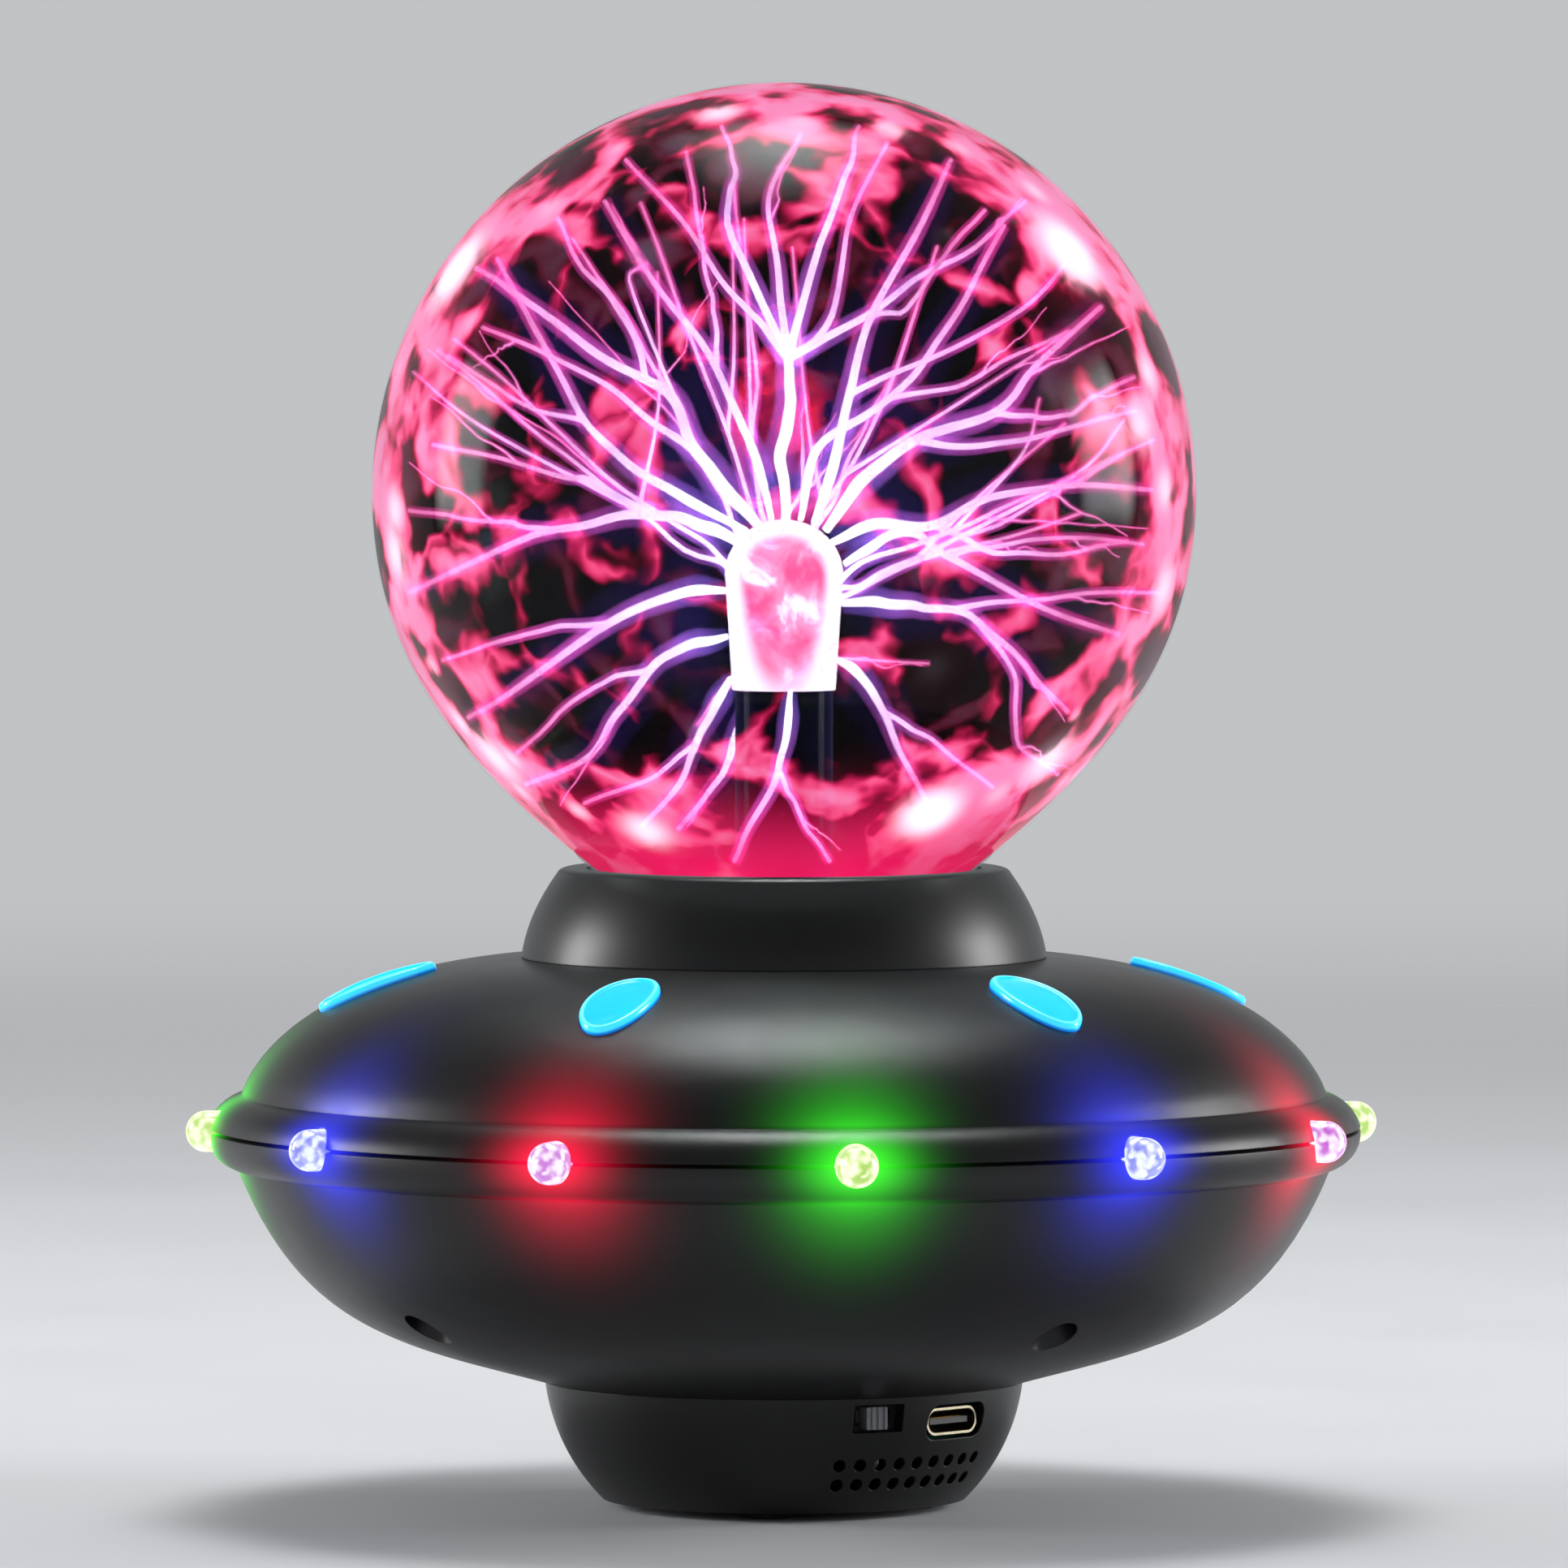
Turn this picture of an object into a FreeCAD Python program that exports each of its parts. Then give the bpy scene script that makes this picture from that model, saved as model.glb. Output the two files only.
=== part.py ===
import FreeCAD, Part
import math
import os

# Plasma ball on a round table base.  Millimetres, +Z up, origin under the middle of the rubber feet.
# The control panel (switch, vents, USB socket) faces -Y.  An item "at angle a" stands at
# (sin a, -cos a), so angle 0 is the panel side and angles grow anticlockwise seen from above.

# ---- Overall sizes
FOOT_PROUD = 1.0          # the rubber feet stand this far below the housing
BASE_LOW_R = 22.0         # base housing, outer radius at the bottom edge
BASE_TOP_R = 28.95        # base housing, outer radius where the lower shell sits on it
BASE_H = 14.3
BASE_BULGE = 1.35         # how far the side stands out from a straight line
RIM_R = 69.75             # crest of the nose that carries the lamps
NOSE_OVER_BOWL = 3.55     # the nose stands out this far from the bowl
NOSE_OVER_DOME = 3.35
BOWL_H = 26.0
NOSE_LOW_H = 4.7
NOSE_HIGH_H = 4.06
NOSE_LOW_BULGE = 1.15
NOSE_HIGH_BULGE = 0.75
DOME_FLAT_R = 30.0        # the dome is a quarter ellipse round this flat top
DOME_H = 20.6
COLLAR_FOOT = 1.8         # the collar's foot reaches past the flat top
COLLAR_H = 10.8
COLLAR_TOP = 3.4          # width of the collar's top edge
GLOBE_R = 50.0            # outside radius of the glass
GLOBE_RISE = 45.1         # centre of the sphere above the collar's top
GLOBE_SEAT_R = 23.4       # glass radius level with the collar's top
SPHERE_LOW_ANGLE = 10.0   # the glass leaves the sphere this far below its equator
CONE_ANGLE = 38.1         # slope of the glass where it enters the collar

# ---- Walls and clearances
WALL = 2.0                # moulded shells, base housing and collar
BASE_ROOF = 1.0
GLASS = 1.5
FIT = 0.1                 # room of a part in its hole, each side
SCREW_FIT = 0.05          # radial room of a screw in its hole
PARTING = 0.25            # half width of the fine groove where the two noses meet
PARTING_DEPTH = 0.7

# ---- Levels, from the bottom up
BASE_Z = FOOT_PROUD
FLOOR_Z = BASE_Z + BASE_H
BOWL_TOP_Z = FLOOR_Z + BOWL_H
RIM_Z = BOWL_TOP_Z + NOSE_LOW_H
DECK_Z = RIM_Z + DOME_H
COLLAR_Z = DECK_Z + COLLAR_H
GLOBE_Z = COLLAR_Z + GLOBE_RISE

# ---- Radii that follow from those
CREASE_R = RIM_R - NOSE_OVER_BOWL
DOME_OUT_R = RIM_R - NOSE_OVER_DOME
COLLAR_LOW_R = DOME_FLAT_R + COLLAR_FOOT
MOUTH_GAP = 0.5
COLLAR_MOUTH_R = GLOBE_SEAT_R + MOUTH_GAP
COLLAR_TOP_R = COLLAR_MOUTH_R + COLLAR_TOP

# ---- Curves: pull of the two inner control points, as shares of the curve's width and height
BOWL_PULL = ((0.455, 0.187), (0.216, 0.781))
COLLAR_PULL = ((0.125, 0.42), (0.39, 0.235))
TAPER_PULL = (15.8, 15.0)     # lengths of the two handles of the glass taper

# ---- Glass neck and electrode
NECK_R = 15.0
NECK_DROP = 7.1               # the neck tube reaches this far below the deck
STEM_R = 5.9
STEM_WALL = 1.2
STEM_BASE = 1.5               # thickness of the stem's disc, which closes the neck
CAPSULE_RISE = 21.5           # bottom of the capsule above the collar's top
CAPSULE_H = 20.6
CAPSULE_STEP = 0.35           # the capsule's bottom is this much wider than the stem
CAPSULE_FLARE = 0.9           # and its shoulder this much wider again
CAPSULE_DOME_H = 6.6
CAPSULE_WALL = 1.0
ROD_R = 1.0                   # contact rod up the stem
ROD_DROP = 8.0                # the rod reaches this far below the stem's disc
SPRING_DISC = 1.0
BOOT_WALL = 3.0
BOOT_SKIRT_R = 7.0
BOOT_SKIRT = 1.0
NECK_LOW_Z = DECK_Z - NECK_DROP
STEM_LOW_Z = NECK_LOW_Z - STEM_BASE
CAPSULE_Z = COLLAR_Z + CAPSULE_RISE
CAPSULE_LOW_R = STEM_R + CAPSULE_STEP
CAPSULE_SHOULDER_R = CAPSULE_LOW_R + CAPSULE_FLARE

# ---- Neck socket, sleeve and gasket
SLEEVE = 1.0
LIP = 2.0
LIP_REACH = 3.0               # the socket's bottom lip reaches in under the neck
GASKET_DEPTH = 3.0
GASKET_SINK = 0.3             # the gasket's top lies below the collar's top
LEDGE = 2.0
LIP_R = NECK_R - LIP_REACH

# ---- Rim lamps: 5 mm round LEDs
LAMP_COLOURS = ("blue", "red", "green")
LAMPS_EACH = 4
LAMP_R = 2.5
LAMP_PROUD = 0.35             # centre of the lamp's round end, outside the rim's crest
LAMP_LENGTH = 6.1             # from the lamp's base to that centre
LAMP_FLANGE_R = 2.9
LAMP_FLANGE = 1.0
LEAD = 0.5
LEAD_REACH = 5.0              # the leads run this far in from the lamp's base
LEAD_BARE = 2.5               # the part of them between the lamp and the board
LAMP_CENTRE_R = RIM_R + LAMP_PROUD
LAMP_BASE_R = LAMP_CENTRE_R - LAMP_LENGTH

# ---- Lamp board and the screws that clamp it
BOARD = 1.6
RING_W = 15.5
SCREW_IN = 8.5                # the screws stand this far in from the board's edge
SHELL_SCREWS = 4
RECESS_R = 2.75
BOSS_R = 4.5
UPPER_BOSS_R = 3.0
UPPER_BOSS_H = 8.2
SHOULDER_DROP = 5.0           # the screw head's seat lies this far below the rim plane
RIB = 2.0
RING_OUT_R = LAMP_BASE_R - LEAD_BARE
RING_IN_R = RING_OUT_R - RING_W
SHELL_SCREW_AT_R = RING_OUT_R - SCREW_IN

# ---- Windows in the dome, each over a lamp on the inner edge of the lamp board
WINDOW_COUNT = 6
WINDOW_LONG = 15.0
WINDOW_WIDE = 8.4
WINDOW_PROUD = 1.0
WINDOW_DISH = 0.3
WINDOW_EDGE = 0.7
WINDOW_FLANGE = 1.5
WINDOW_FLANGE_T = 1.2
WINDOW_LAMP = 2.8
WINDOW_LAMP_H = 1.6
WINDOW_LAMP_IN = 0.5
WINDOW_OVER_RING = 3.5
WINDOW_AT_R = RING_IN_R + WINDOW_OVER_RING

# ---- Screws: (shank radius, shank length, head radius, head height)
SHELL_SCREW = (1.3, 11.0, 2.5, 2.0)
COLLAR_SCREW = (1.1, 7.5, 2.1, 1.6)
BASE_SCREW = (1.1, 6.5, 2.1, 1.3)
COVER_SCREW = (1.1, 5.0, 2.1, 1.2)
BOARD_SCREW = (0.9, 4.0, 1.8, 1.1)
DRIVER_SCREW = (1.1, 4.5, 2.1, 1.3)
DRIVE_R = 0.45                # drive recess, as shares of the head's radius and height
DRIVE_DEPTH = 0.5
COLLAR_BOSS_R = 2.75
COLLAR_SCREW_IN = 5.8
COLLAR_SCREW_ANGLES = (30.0, 150.0, 270.0)
COLLAR_SCREW_AT_R = COLLAR_LOW_R - COLLAR_SCREW_IN

# ---- Bottom cover, posts and feet
COVER = 2.0
COVER_R = BASE_LOW_R - WALL - FIT
POST_R = 3.0
POST_EDGE = 0.5               # room between a post and the housing's lower edge
POST_ANGLES = (90.0, 180.0, 270.0)
POST_AT_R = COVER_R - POST_R - POST_EDGE
FOOT_R = 3.5
FOOT_T = 2.0
FOOT_EDGE = 1.4
FOOT_ROUND = 0.4              # rounding of the feet, as a share of what shows of them
FOOT_ANGLES = (45.0, 135.0, 225.0, 315.0)
FOOT_AT_R = COVER_R - FOOT_R - FOOT_EDGE

# ---- Control panel
SWITCH_H = 5.0
CONTROL_BOARD_LIFT = BASE_H - SWITCH_H - BOARD    # the switch on the board reaches up to the bowl
CONTROL_BOARD_W = 34.0
CONTROL_BOARD_BACK = 4.0      # the board's back edge, this far in front of the axis
CONTROL_BOARD_GAP = 0.6
CONTROL_POSTS = ((-11.5, -9.0), (11.5, -9.0))
CONTROL_POST_R = 2.4
CONTROL_BOARD_Z = BASE_Z + CONTROL_BOARD_LIFT
CONTROL_TOP_Z = CONTROL_BOARD_Z + BOARD
CHIPS = ((5.0, 6.2, 1.6, 6.0, -9.0), (3.2, 1.6, 0.6, -5.0, -14.0), (3.2, 1.6, 0.6, -5.0, -11.0),
         (4.5, 3.8, 1.2, 0.0, -14.0))      # size in x, y, z and place in x, y
USB_ANGLE = 10.5
USB_W = 8.94
USB_H = 3.26
USB_L = 7.35
USB_SINK = 1.05               # the socket's mouth lies this far inside the housing's surface
USB_SHELL = 0.3
USB_TONGUE_W = 6.69
USB_TONGUE_T = 0.7
USB_TONGUE_BACK = 1.2
USB_TONGUE_SHORT = 0.5
USB_RECESS_GAP = 0.5
USB_Z = CONTROL_TOP_Z + USB_H / 2
SWITCH_ANGLE = -13.5
SWITCH_W = 8.4
SWITCH_DEPTH = 3.8
SWITCH_GAP = 1.0              # between the switch's face and the inside of the wall
CASE_WALL = 0.8
KNOB = 2.7
KNOB_SINK = 0.6               # the knob's end lies this far inside the housing's surface
KNOB_NECK = 1.5
KNOB_CARRIAGE = 1.0
KNOB_ROUND = 0.2
KNOB_TRAVEL = 1.8             # each way from the middle position
GRIPS = 3
GRIP_W = 0.32
GRIP_PITCH = 0.8
GRIP_DEPTH = 0.2
SLOT_H = 3.4
SWITCH_Z = CONTROL_TOP_Z + SWITCH_H / 2
VENT_LIFTS = (6.1, 3.65)      # rows above the housing's bottom edge
VENTS_IN_ROW = 9
VENT_R = 0.775
VENT_PITCH = 2.5
MIC_R = 3.0
MIC_H = 2.7
MIC_AT_Y = -17.0
WIRE_HOLE_R = 8.0

# ---- Driver board and what stands on it
DRIVER_W = 56.0
DRIVER_D = 40.0
DRIVER_LIFT = 4.7
DRIVER_POST_IN = 4.0
DRIVER_POST_R = 2.6
DRIVER_Z = FLOOR_Z + WALL + DRIVER_LIFT
DRIVER_TOP_Z = DRIVER_Z + BOARD
CORE_SIZE = (24.0, 10.0, 17.0)
CORE_WINDOW = (14.0, 9.0)
CORE_AT = (-11.0, 5.0)
COIL_H = 8.6
COIL_LEG_R = 2.5
CAPACITORS = ((14.0, -11.0, 4.0, 11.5), (3.0, -13.0, 3.15, 9.0),
              (-7.0, -13.0, 2.5, 7.0))     # place in x, y, then radius and height
SINK_AT = (12.5, 8.0)
SINK_SIZE = (16.0, 2.0, 20.0)
SINK_FINS = 4
SINK_FIN = 5.0
SINK_FIN_T = 1.0
TRANSISTOR_SIZE = (10.0, 4.4, 15.6)

# ---- Leads inside the housing
ARC_SHARE = 0.45              # each bend takes this share of the shorter run beside it
HV_LEAD_D = 1.4
SUPPLY_LEAD_D = 1.2
SUPPLY_LEADS_X = (-1.5, 1.5)
HARNESS_D = 1.8
HARNESS_ANGLE = 60.0
HARNESS_IN = 2.0              # the harness meets the lamp board this far from its inner edge


# ---------------------------------------------------------------- drawing helpers

def at(r, z):
    return FreeCAD.Vector(r, 0, z)


def line(a, b):
    return Part.makeLine(at(*a), at(*b))


def path(points):
    return [line(a, b) for a, b in zip(points, points[1:])]


def bulged(a, b, bulge):
    """Arc from a to b whose middle stands out by bulge on the right-hand side of a to b."""
    dr, dz = b[0] - a[0], b[1] - a[1]
    chord = math.hypot(dr, dz)
    middle = ((a[0] + b[0]) / 2 + dz / chord * bulge, (a[1] + b[1]) / 2 - dr / chord * bulge)
    return Part.Arc(at(*a), at(*middle), at(*b)).toShape()


def bezier(poles):
    curve = Part.BezierCurve()
    curve.setPoles([at(*pole) for pole in poles])
    return curve.toShape()


def pulled(start, end, pull):
    """Four poles of a curve whose inner poles are shares of its width and height from its ends."""
    width, height = end[0] - start[0], end[1] - start[1]
    (low_r, low_z), (high_r, high_z) = pull
    return [start, (start[0] + low_r * width, start[1] + low_z * height),
            (end[0] - high_r * width, end[1] - high_z * height), end]


def inset(poles, distance):
    """The same curve moved to its left-hand side, near enough parallel for a moulded wall."""
    moved = []
    for pole, (a, b) in zip(poles, ((0, 1), (0, 1), (2, 3), (2, 3))):
        dr, dz = poles[b][0] - poles[a][0], poles[b][1] - poles[a][1]
        length = math.hypot(dr, dz)
        moved.append((pole[0] - dz / length * distance, pole[1] + dr / length * distance))
    return moved


def revolve(edges):
    wire = Part.Wire(Part.__sortEdges__(edges))
    solid = Part.Face(wire).revolve(at(0, 0), FreeCAD.Vector(0, 0, 1), 360)
    return solid if solid.ShapeType == "Solid" else Part.Solid(solid)


def ring(r_in, r_out, z_low, z_high):
    return revolve(path([(r_in, z_low), (r_out, z_low), (r_out, z_high), (r_in, z_high), (r_in, z_low)]))


def rod(r, z_low, z_high, x=0.0, y=0.0):
    return Part.makeCylinder(r, z_high - z_low, FreeCAD.Vector(x, y, z_low))


def block(x_size, y_size, z_size, x=0.0, y=0.0, z_low=0.0):
    """Block centred on x, y that stands on z_low."""
    return Part.makeBox(x_size, y_size, z_size, FreeCAD.Vector(x - x_size / 2, y - y_size / 2, z_low))


def turned(shape, angle):
    copy = shape.copy()
    copy.rotate(FreeCAD.Vector(0, 0, 0), FreeCAD.Vector(0, 0, 1), angle)
    return copy


def around(shape, angles):
    return [turned(shape, angle) for angle in angles]


def spread(count):
    return [360.0 * i / count for i in range(count)]


def fused(shapes):
    whole = shapes[0].multiFuse(shapes[1:]) if len(shapes) > 1 else shapes[0]
    return whole.removeSplitter()


def less(shape, cutters):
    return shape.cut(Part.makeCompound(cutters)).removeSplitter()


def front(r_low, r_high, z, r):
    """Round bar that points out of the panel side, between two distances from the axis."""
    return Part.makeCylinder(r, r_high - r_low, FreeCAD.Vector(0, -r_low, z), FreeCAD.Vector(0, -1, 0))


def front_slab(width, height, r_low, r_high, z, corner=0.0):
    """Bar of oblong section that points out of the panel side, centred on height z."""
    slab = Part.makeBox(width, r_high - r_low, height,
                        FreeCAD.Vector(-width / 2, -r_high, z - height / 2))
    if corner <= 0:
        return slab
    long_edges = [e for e in slab.Edges
                  if abs(e.Vertexes[0].Y - e.Vertexes[1].Y) > (r_high - r_low) / 2]
    return slab.makeFillet(corner, long_edges)


def screw(size, x, y, seat_z, up=True):
    """Pan-head screw whose head bears on seat_z and whose shank points up or down."""
    shank_r, shank, head_r, head = size
    side = 1 if up else -1
    bar = rod(shank_r, min(seat_z, seat_z + side * shank), max(seat_z, seat_z + side * shank), x, y)
    cap = rod(head_r, min(seat_z, seat_z - side * head), max(seat_z, seat_z - side * head), x, y)
    drive = rod(head_r * DRIVE_R, 0, head * DRIVE_DEPTH, x, y)
    drive.translate(FreeCAD.Vector(0, 0, seat_z - head if up else seat_z + head * (1 - DRIVE_DEPTH)))
    return fused([bar, cap]).cut(drive)


def screw_hole(size, x, y, z_low, z_high):
    return rod(size[0] + SCREW_FIT, z_low, z_high, x, y)


def polar(r, angle):
    return r * math.sin(math.radians(angle)), -r * math.cos(math.radians(angle))


def lead_tube(name, diameter, points):
    """Round lead along straight runs joined by tangent arcs as large as the runs allow."""
    points = [FreeCAD.Vector(*p) for p in points]
    edges, last, radii = [], points[0], []
    for before, corner, after in zip(points, points[1:], points[2:]):
        into, out = corner - before, after - corner
        half_turn = into.getAngle(out) / 2
        reach = ARC_SHARE * min(into.Length, out.Length)
        radii.append(reach / math.tan(half_turn))
        start = corner - into.normalize() * reach
        end = corner + out.normalize() * reach
        towards = (end - corner + (start - corner)).normalize()
        middle = corner + towards * (radii[-1] / math.cos(half_turn) - radii[-1])
        edges += [Part.makeLine(last, start), Part.Arc(start, middle, end).toShape()]
        last = end
    edges.append(Part.makeLine(last, points[-1]))
    spine = Part.Wire(edges)
    section = Part.Wire(Part.makeCircle(diameter / 2, points[0], points[1] - points[0]))
    tube = spine.makePipeShell([section], True, False)
    ideal = math.pi * diameter ** 2 / 4 * spine.Length
    print(name, "radii", [round(r, 1) for r in radii], "volume ratio", round(tube.Volume / ideal, 4))
    return tube


# ---------------------------------------------------------------- glass globe and electrode

def taper_poles():
    low = math.radians(SPHERE_LOW_ANGLE)
    slope = math.radians(CONE_ANGLE)
    start = (GLOBE_R * math.cos(low), GLOBE_Z - GLOBE_R * math.sin(low))
    end = (GLOBE_SEAT_R, COLLAR_Z)
    first = (start[0] - TAPER_PULL[0] * math.sin(low), start[1] - TAPER_PULL[0] * math.cos(low))
    second = (end[0] + TAPER_PULL[1] * math.cos(slope), end[1] + TAPER_PULL[1] * math.sin(slope))
    return [start, first, second, end]


def globe_body(thinner):
    """Solid of the globe and neck, smaller by thinner all round, open towards the bottom."""
    taper = inset(taper_poles(), -thinner)
    radius = GLOBE_R - thinner
    low = math.radians(SPHERE_LOW_ANGLE)
    neck = NECK_R - thinner
    end = taper[3]
    neck_top = end[1] - (end[0] - neck) * math.tan(math.radians(CONE_ANGLE))
    middle = math.radians(45.0 - SPHERE_LOW_ANGLE / 2)
    top = (0, GLOBE_Z + radius)
    arc = Part.Arc(at(*top), at(radius * math.cos(middle), GLOBE_Z + radius * math.sin(middle)),
                   at(radius * math.cos(low), GLOBE_Z - radius * math.sin(low))).toShape()
    rest = path([end, (neck, neck_top), (neck, NECK_LOW_Z), (0, NECK_LOW_Z), top])
    return revolve([arc, bezier(taper)] + rest)


def glass_globe():
    return less(globe_body(0.0), [globe_body(GLASS)])


def electrode_stem():
    disc = rod(NECK_R, STEM_LOW_Z, NECK_LOW_Z)
    tube = rod(STEM_R, STEM_LOW_Z, CAPSULE_Z)
    bore = rod(STEM_R - STEM_WALL, STEM_LOW_Z, CAPSULE_Z)
    return less(fused([disc, tube]), [bore])


def round_top(r, low_z, top_z):
    """Arc from the side up to the axis, part of a sphere centred on the axis."""
    height = top_z - low_z
    radius = (r ** 2 + height ** 2) / (2 * height)
    half = math.atan2(r, radius - height) / 2
    middle = at(radius * math.sin(half), top_z - radius + radius * math.cos(half))
    return Part.Arc(at(r, low_z), middle, at(0, top_z)).toShape()


def capsule_body(thinner):
    low, shoulder = CAPSULE_LOW_R - thinner, CAPSULE_SHOULDER_R - thinner
    bottom, top = CAPSULE_Z + thinner, CAPSULE_Z + CAPSULE_H - thinner
    shoulder_z = CAPSULE_Z + CAPSULE_H - CAPSULE_DOME_H
    return revolve([round_top(shoulder, shoulder_z, top)]
                   + path([(0, top), (0, bottom), (low, bottom), (shoulder, shoulder_z)]))


def electrode_capsule():
    hole = rod(ROD_R + FIT, CAPSULE_Z, CAPSULE_Z + CAPSULE_WALL)
    return less(capsule_body(0.0), [capsule_body(CAPSULE_WALL), hole])


def stem_contact():
    bar = rod(ROD_R, STEM_LOW_Z - ROD_DROP, CAPSULE_Z + CAPSULE_H / 2)
    disc = rod(STEM_R - STEM_WALL - SCREW_FIT, CAPSULE_Z - 3 * SPRING_DISC, CAPSULE_Z - 2 * SPRING_DISC)
    return fused([bar, disc])


def hv_boot():
    top = STEM_LOW_Z
    cap = fused([rod(ROD_R + BOOT_WALL, top - ROD_DROP, top), rod(BOOT_SKIRT_R, top - BOOT_SKIRT, top)])
    return less(cap, [rod(ROD_R + SCREW_FIT, top - ROD_DROP, top)])


# ---------------------------------------------------------------- collar, gasket and sleeve

def globe_gasket():
    """Rubber ring between the cone of the glass and the mouth of the collar."""
    slope = math.tan(math.radians(CONE_ANGLE))
    low, high = COLLAR_Z - GASKET_DEPTH, COLLAR_Z - GASKET_SINK
    inner_low = GLOBE_SEAT_R - GASKET_DEPTH / slope + FIT
    inner_high = GLOBE_SEAT_R - GASKET_SINK / slope + FIT
    outer = COLLAR_MOUTH_R - SCREW_FIT
    return revolve(path([(inner_low, low), (outer, low), (outer, high), (inner_high, high),
                         (inner_low, low)]))


def globe_collar():
    slope = math.tan(math.radians(CONE_ANGLE))
    ledge_r = GLOBE_SEAT_R - GASKET_DEPTH / slope + 2 * FIT
    ledge_z = COLLAR_Z - GASKET_DEPTH
    side = pulled((COLLAR_LOW_R, DECK_Z), (COLLAR_TOP_R, COLLAR_Z - 4 * FIT), COLLAR_PULL)
    rim = (COLLAR_TOP_R - WALL / 2, COLLAR_Z)
    section = [bezier(side), bulged(side[3], rim, FIT)]
    section += path([rim, (COLLAR_MOUTH_R, COLLAR_Z), (COLLAR_MOUTH_R, ledge_z), (ledge_r, ledge_z),
                     (ledge_r, DECK_Z), side[0]])
    inside = inset(side, WALL)
    hollow = revolve([bezier(inside)] + path([inside[3], (0, inside[3][1]), (0, inside[0][1]), inside[0]]))
    room = rod(COLLAR_LOW_R, DECK_Z - WALL, ledge_z - LEDGE)
    shell = less(revolve(section), [hollow.common(room)])
    x, y = polar(COLLAR_SCREW_AT_R, 0)
    bosses = around(rod(COLLAR_BOSS_R, DECK_Z, ledge_z - LEDGE / 2, x, y), COLLAR_SCREW_ANGLES)
    holes = around(screw_hole(COLLAR_SCREW, x, y, DECK_Z, DECK_Z + COLLAR_SCREW[1] - WALL + FIT),
                   COLLAR_SCREW_ANGLES)
    return less(fused([shell] + bosses), holes)


def collar_screws():
    x, y = polar(COLLAR_SCREW_AT_R, 0)
    return around(screw(COLLAR_SCREW, x, y, DECK_Z - WALL), COLLAR_SCREW_ANGLES)


def neck_sleeve():
    outer = NECK_R + SCREW_FIT + SLEEVE
    bottom = STEM_LOW_Z - SLEEVE
    tube = ring(NECK_R + SCREW_FIT, outer, bottom, DECK_Z)
    return fused([tube, ring(LIP_R, outer, bottom, bottom + SLEEVE)])


# ---------------------------------------------------------------- upper shell

def dome_body(proud):
    """Filled dome whose surface stands proud of the real one, over a plane below the rim."""
    a, b = DOME_OUT_R - DOME_FLAT_R + proud, DOME_H + proud
    ellipse = Part.Ellipse(at(DOME_FLAT_R + a, RIM_Z), at(DOME_FLAT_R, RIM_Z + b), at(DOME_FLAT_R, RIM_Z))
    quarter = Part.ArcOfEllipse(ellipse, 0, math.pi / 2).toShape()
    floor_z = RIM_Z - DOME_H
    return revolve([quarter] + path([(DOME_FLAT_R, RIM_Z + b), (0, RIM_Z + b), (0, floor_z),
                                     (DOME_FLAT_R + a, floor_z), (DOME_FLAT_R + a, RIM_Z)]))


def dome_radius(z):
    share = (z - RIM_Z) / DOME_H
    return DOME_FLAT_R + (DOME_OUT_R - DOME_FLAT_R) * math.sqrt(1 - share ** 2)


def nose_body(high):
    """Half of the nose as a filled disc, above or below the rim plane."""
    groove_r = RIM_R - PARTING_DEPTH
    if high:
        crease = (dome_radius(RIM_Z + NOSE_HIGH_H), RIM_Z + NOSE_HIGH_H)
        lip = (RIM_R, RIM_Z + PARTING)
        return revolve([bulged(lip, crease, NOSE_HIGH_BULGE)]
                       + path([crease, (0, crease[1]), (0, RIM_Z), (groove_r, RIM_Z), lip]))
    crease = (CREASE_R, BOWL_TOP_Z)
    lip = (RIM_R, RIM_Z - PARTING)
    return revolve([bulged(crease, lip, NOSE_LOW_BULGE)]
                   + path([lip, (groove_r, RIM_Z), (0, RIM_Z), (0, crease[1]), crease]))


def lamp_gallery():
    """Room behind the nose for the lamps' flanges."""
    half = LAMP_FLANGE_R + 2 * FIT
    return rod(LAMP_BASE_R + LAMP_FLANGE + FIT, RIM_Z - half, RIM_Z + half)


def lamp_holes():
    return around(front(LAMP_BASE_R, RIM_R + LAMP_R, RIM_Z, LAMP_R + FIT),
                  spread(LAMPS_EACH * len(LAMP_COLOURS)))


def window_frame(long_axis, wide_axis, depth, height):
    """Oval bar that stands square to the dome where a window sits."""
    a, b = DOME_OUT_R - DOME_FLAT_R, DOME_H
    cos_t = (WINDOW_AT_R - DOME_FLAT_R) / a
    sin_t = math.sqrt(1 - cos_t ** 2)
    tilt = math.degrees(math.atan2(cos_t / a, sin_t / b))
    oval = Part.Ellipse(FreeCAD.Vector(0, 0, 0), long_axis / 2, wide_axis / 2).toShape()
    bar = Part.Face(Part.Wire([oval])).extrude(FreeCAD.Vector(0, 0, height + depth))
    bar.rotate(FreeCAD.Vector(0, 0, 0), FreeCAD.Vector(0, 0, 1), 90)
    bar.translate(FreeCAD.Vector(0, 0, -depth))
    bar.rotate(FreeCAD.Vector(0, 0, 0), FreeCAD.Vector(1, 0, 0), tilt)
    bar.translate(FreeCAD.Vector(0, -WINDOW_AT_R, RIM_Z + b * sin_t))
    return bar


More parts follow.
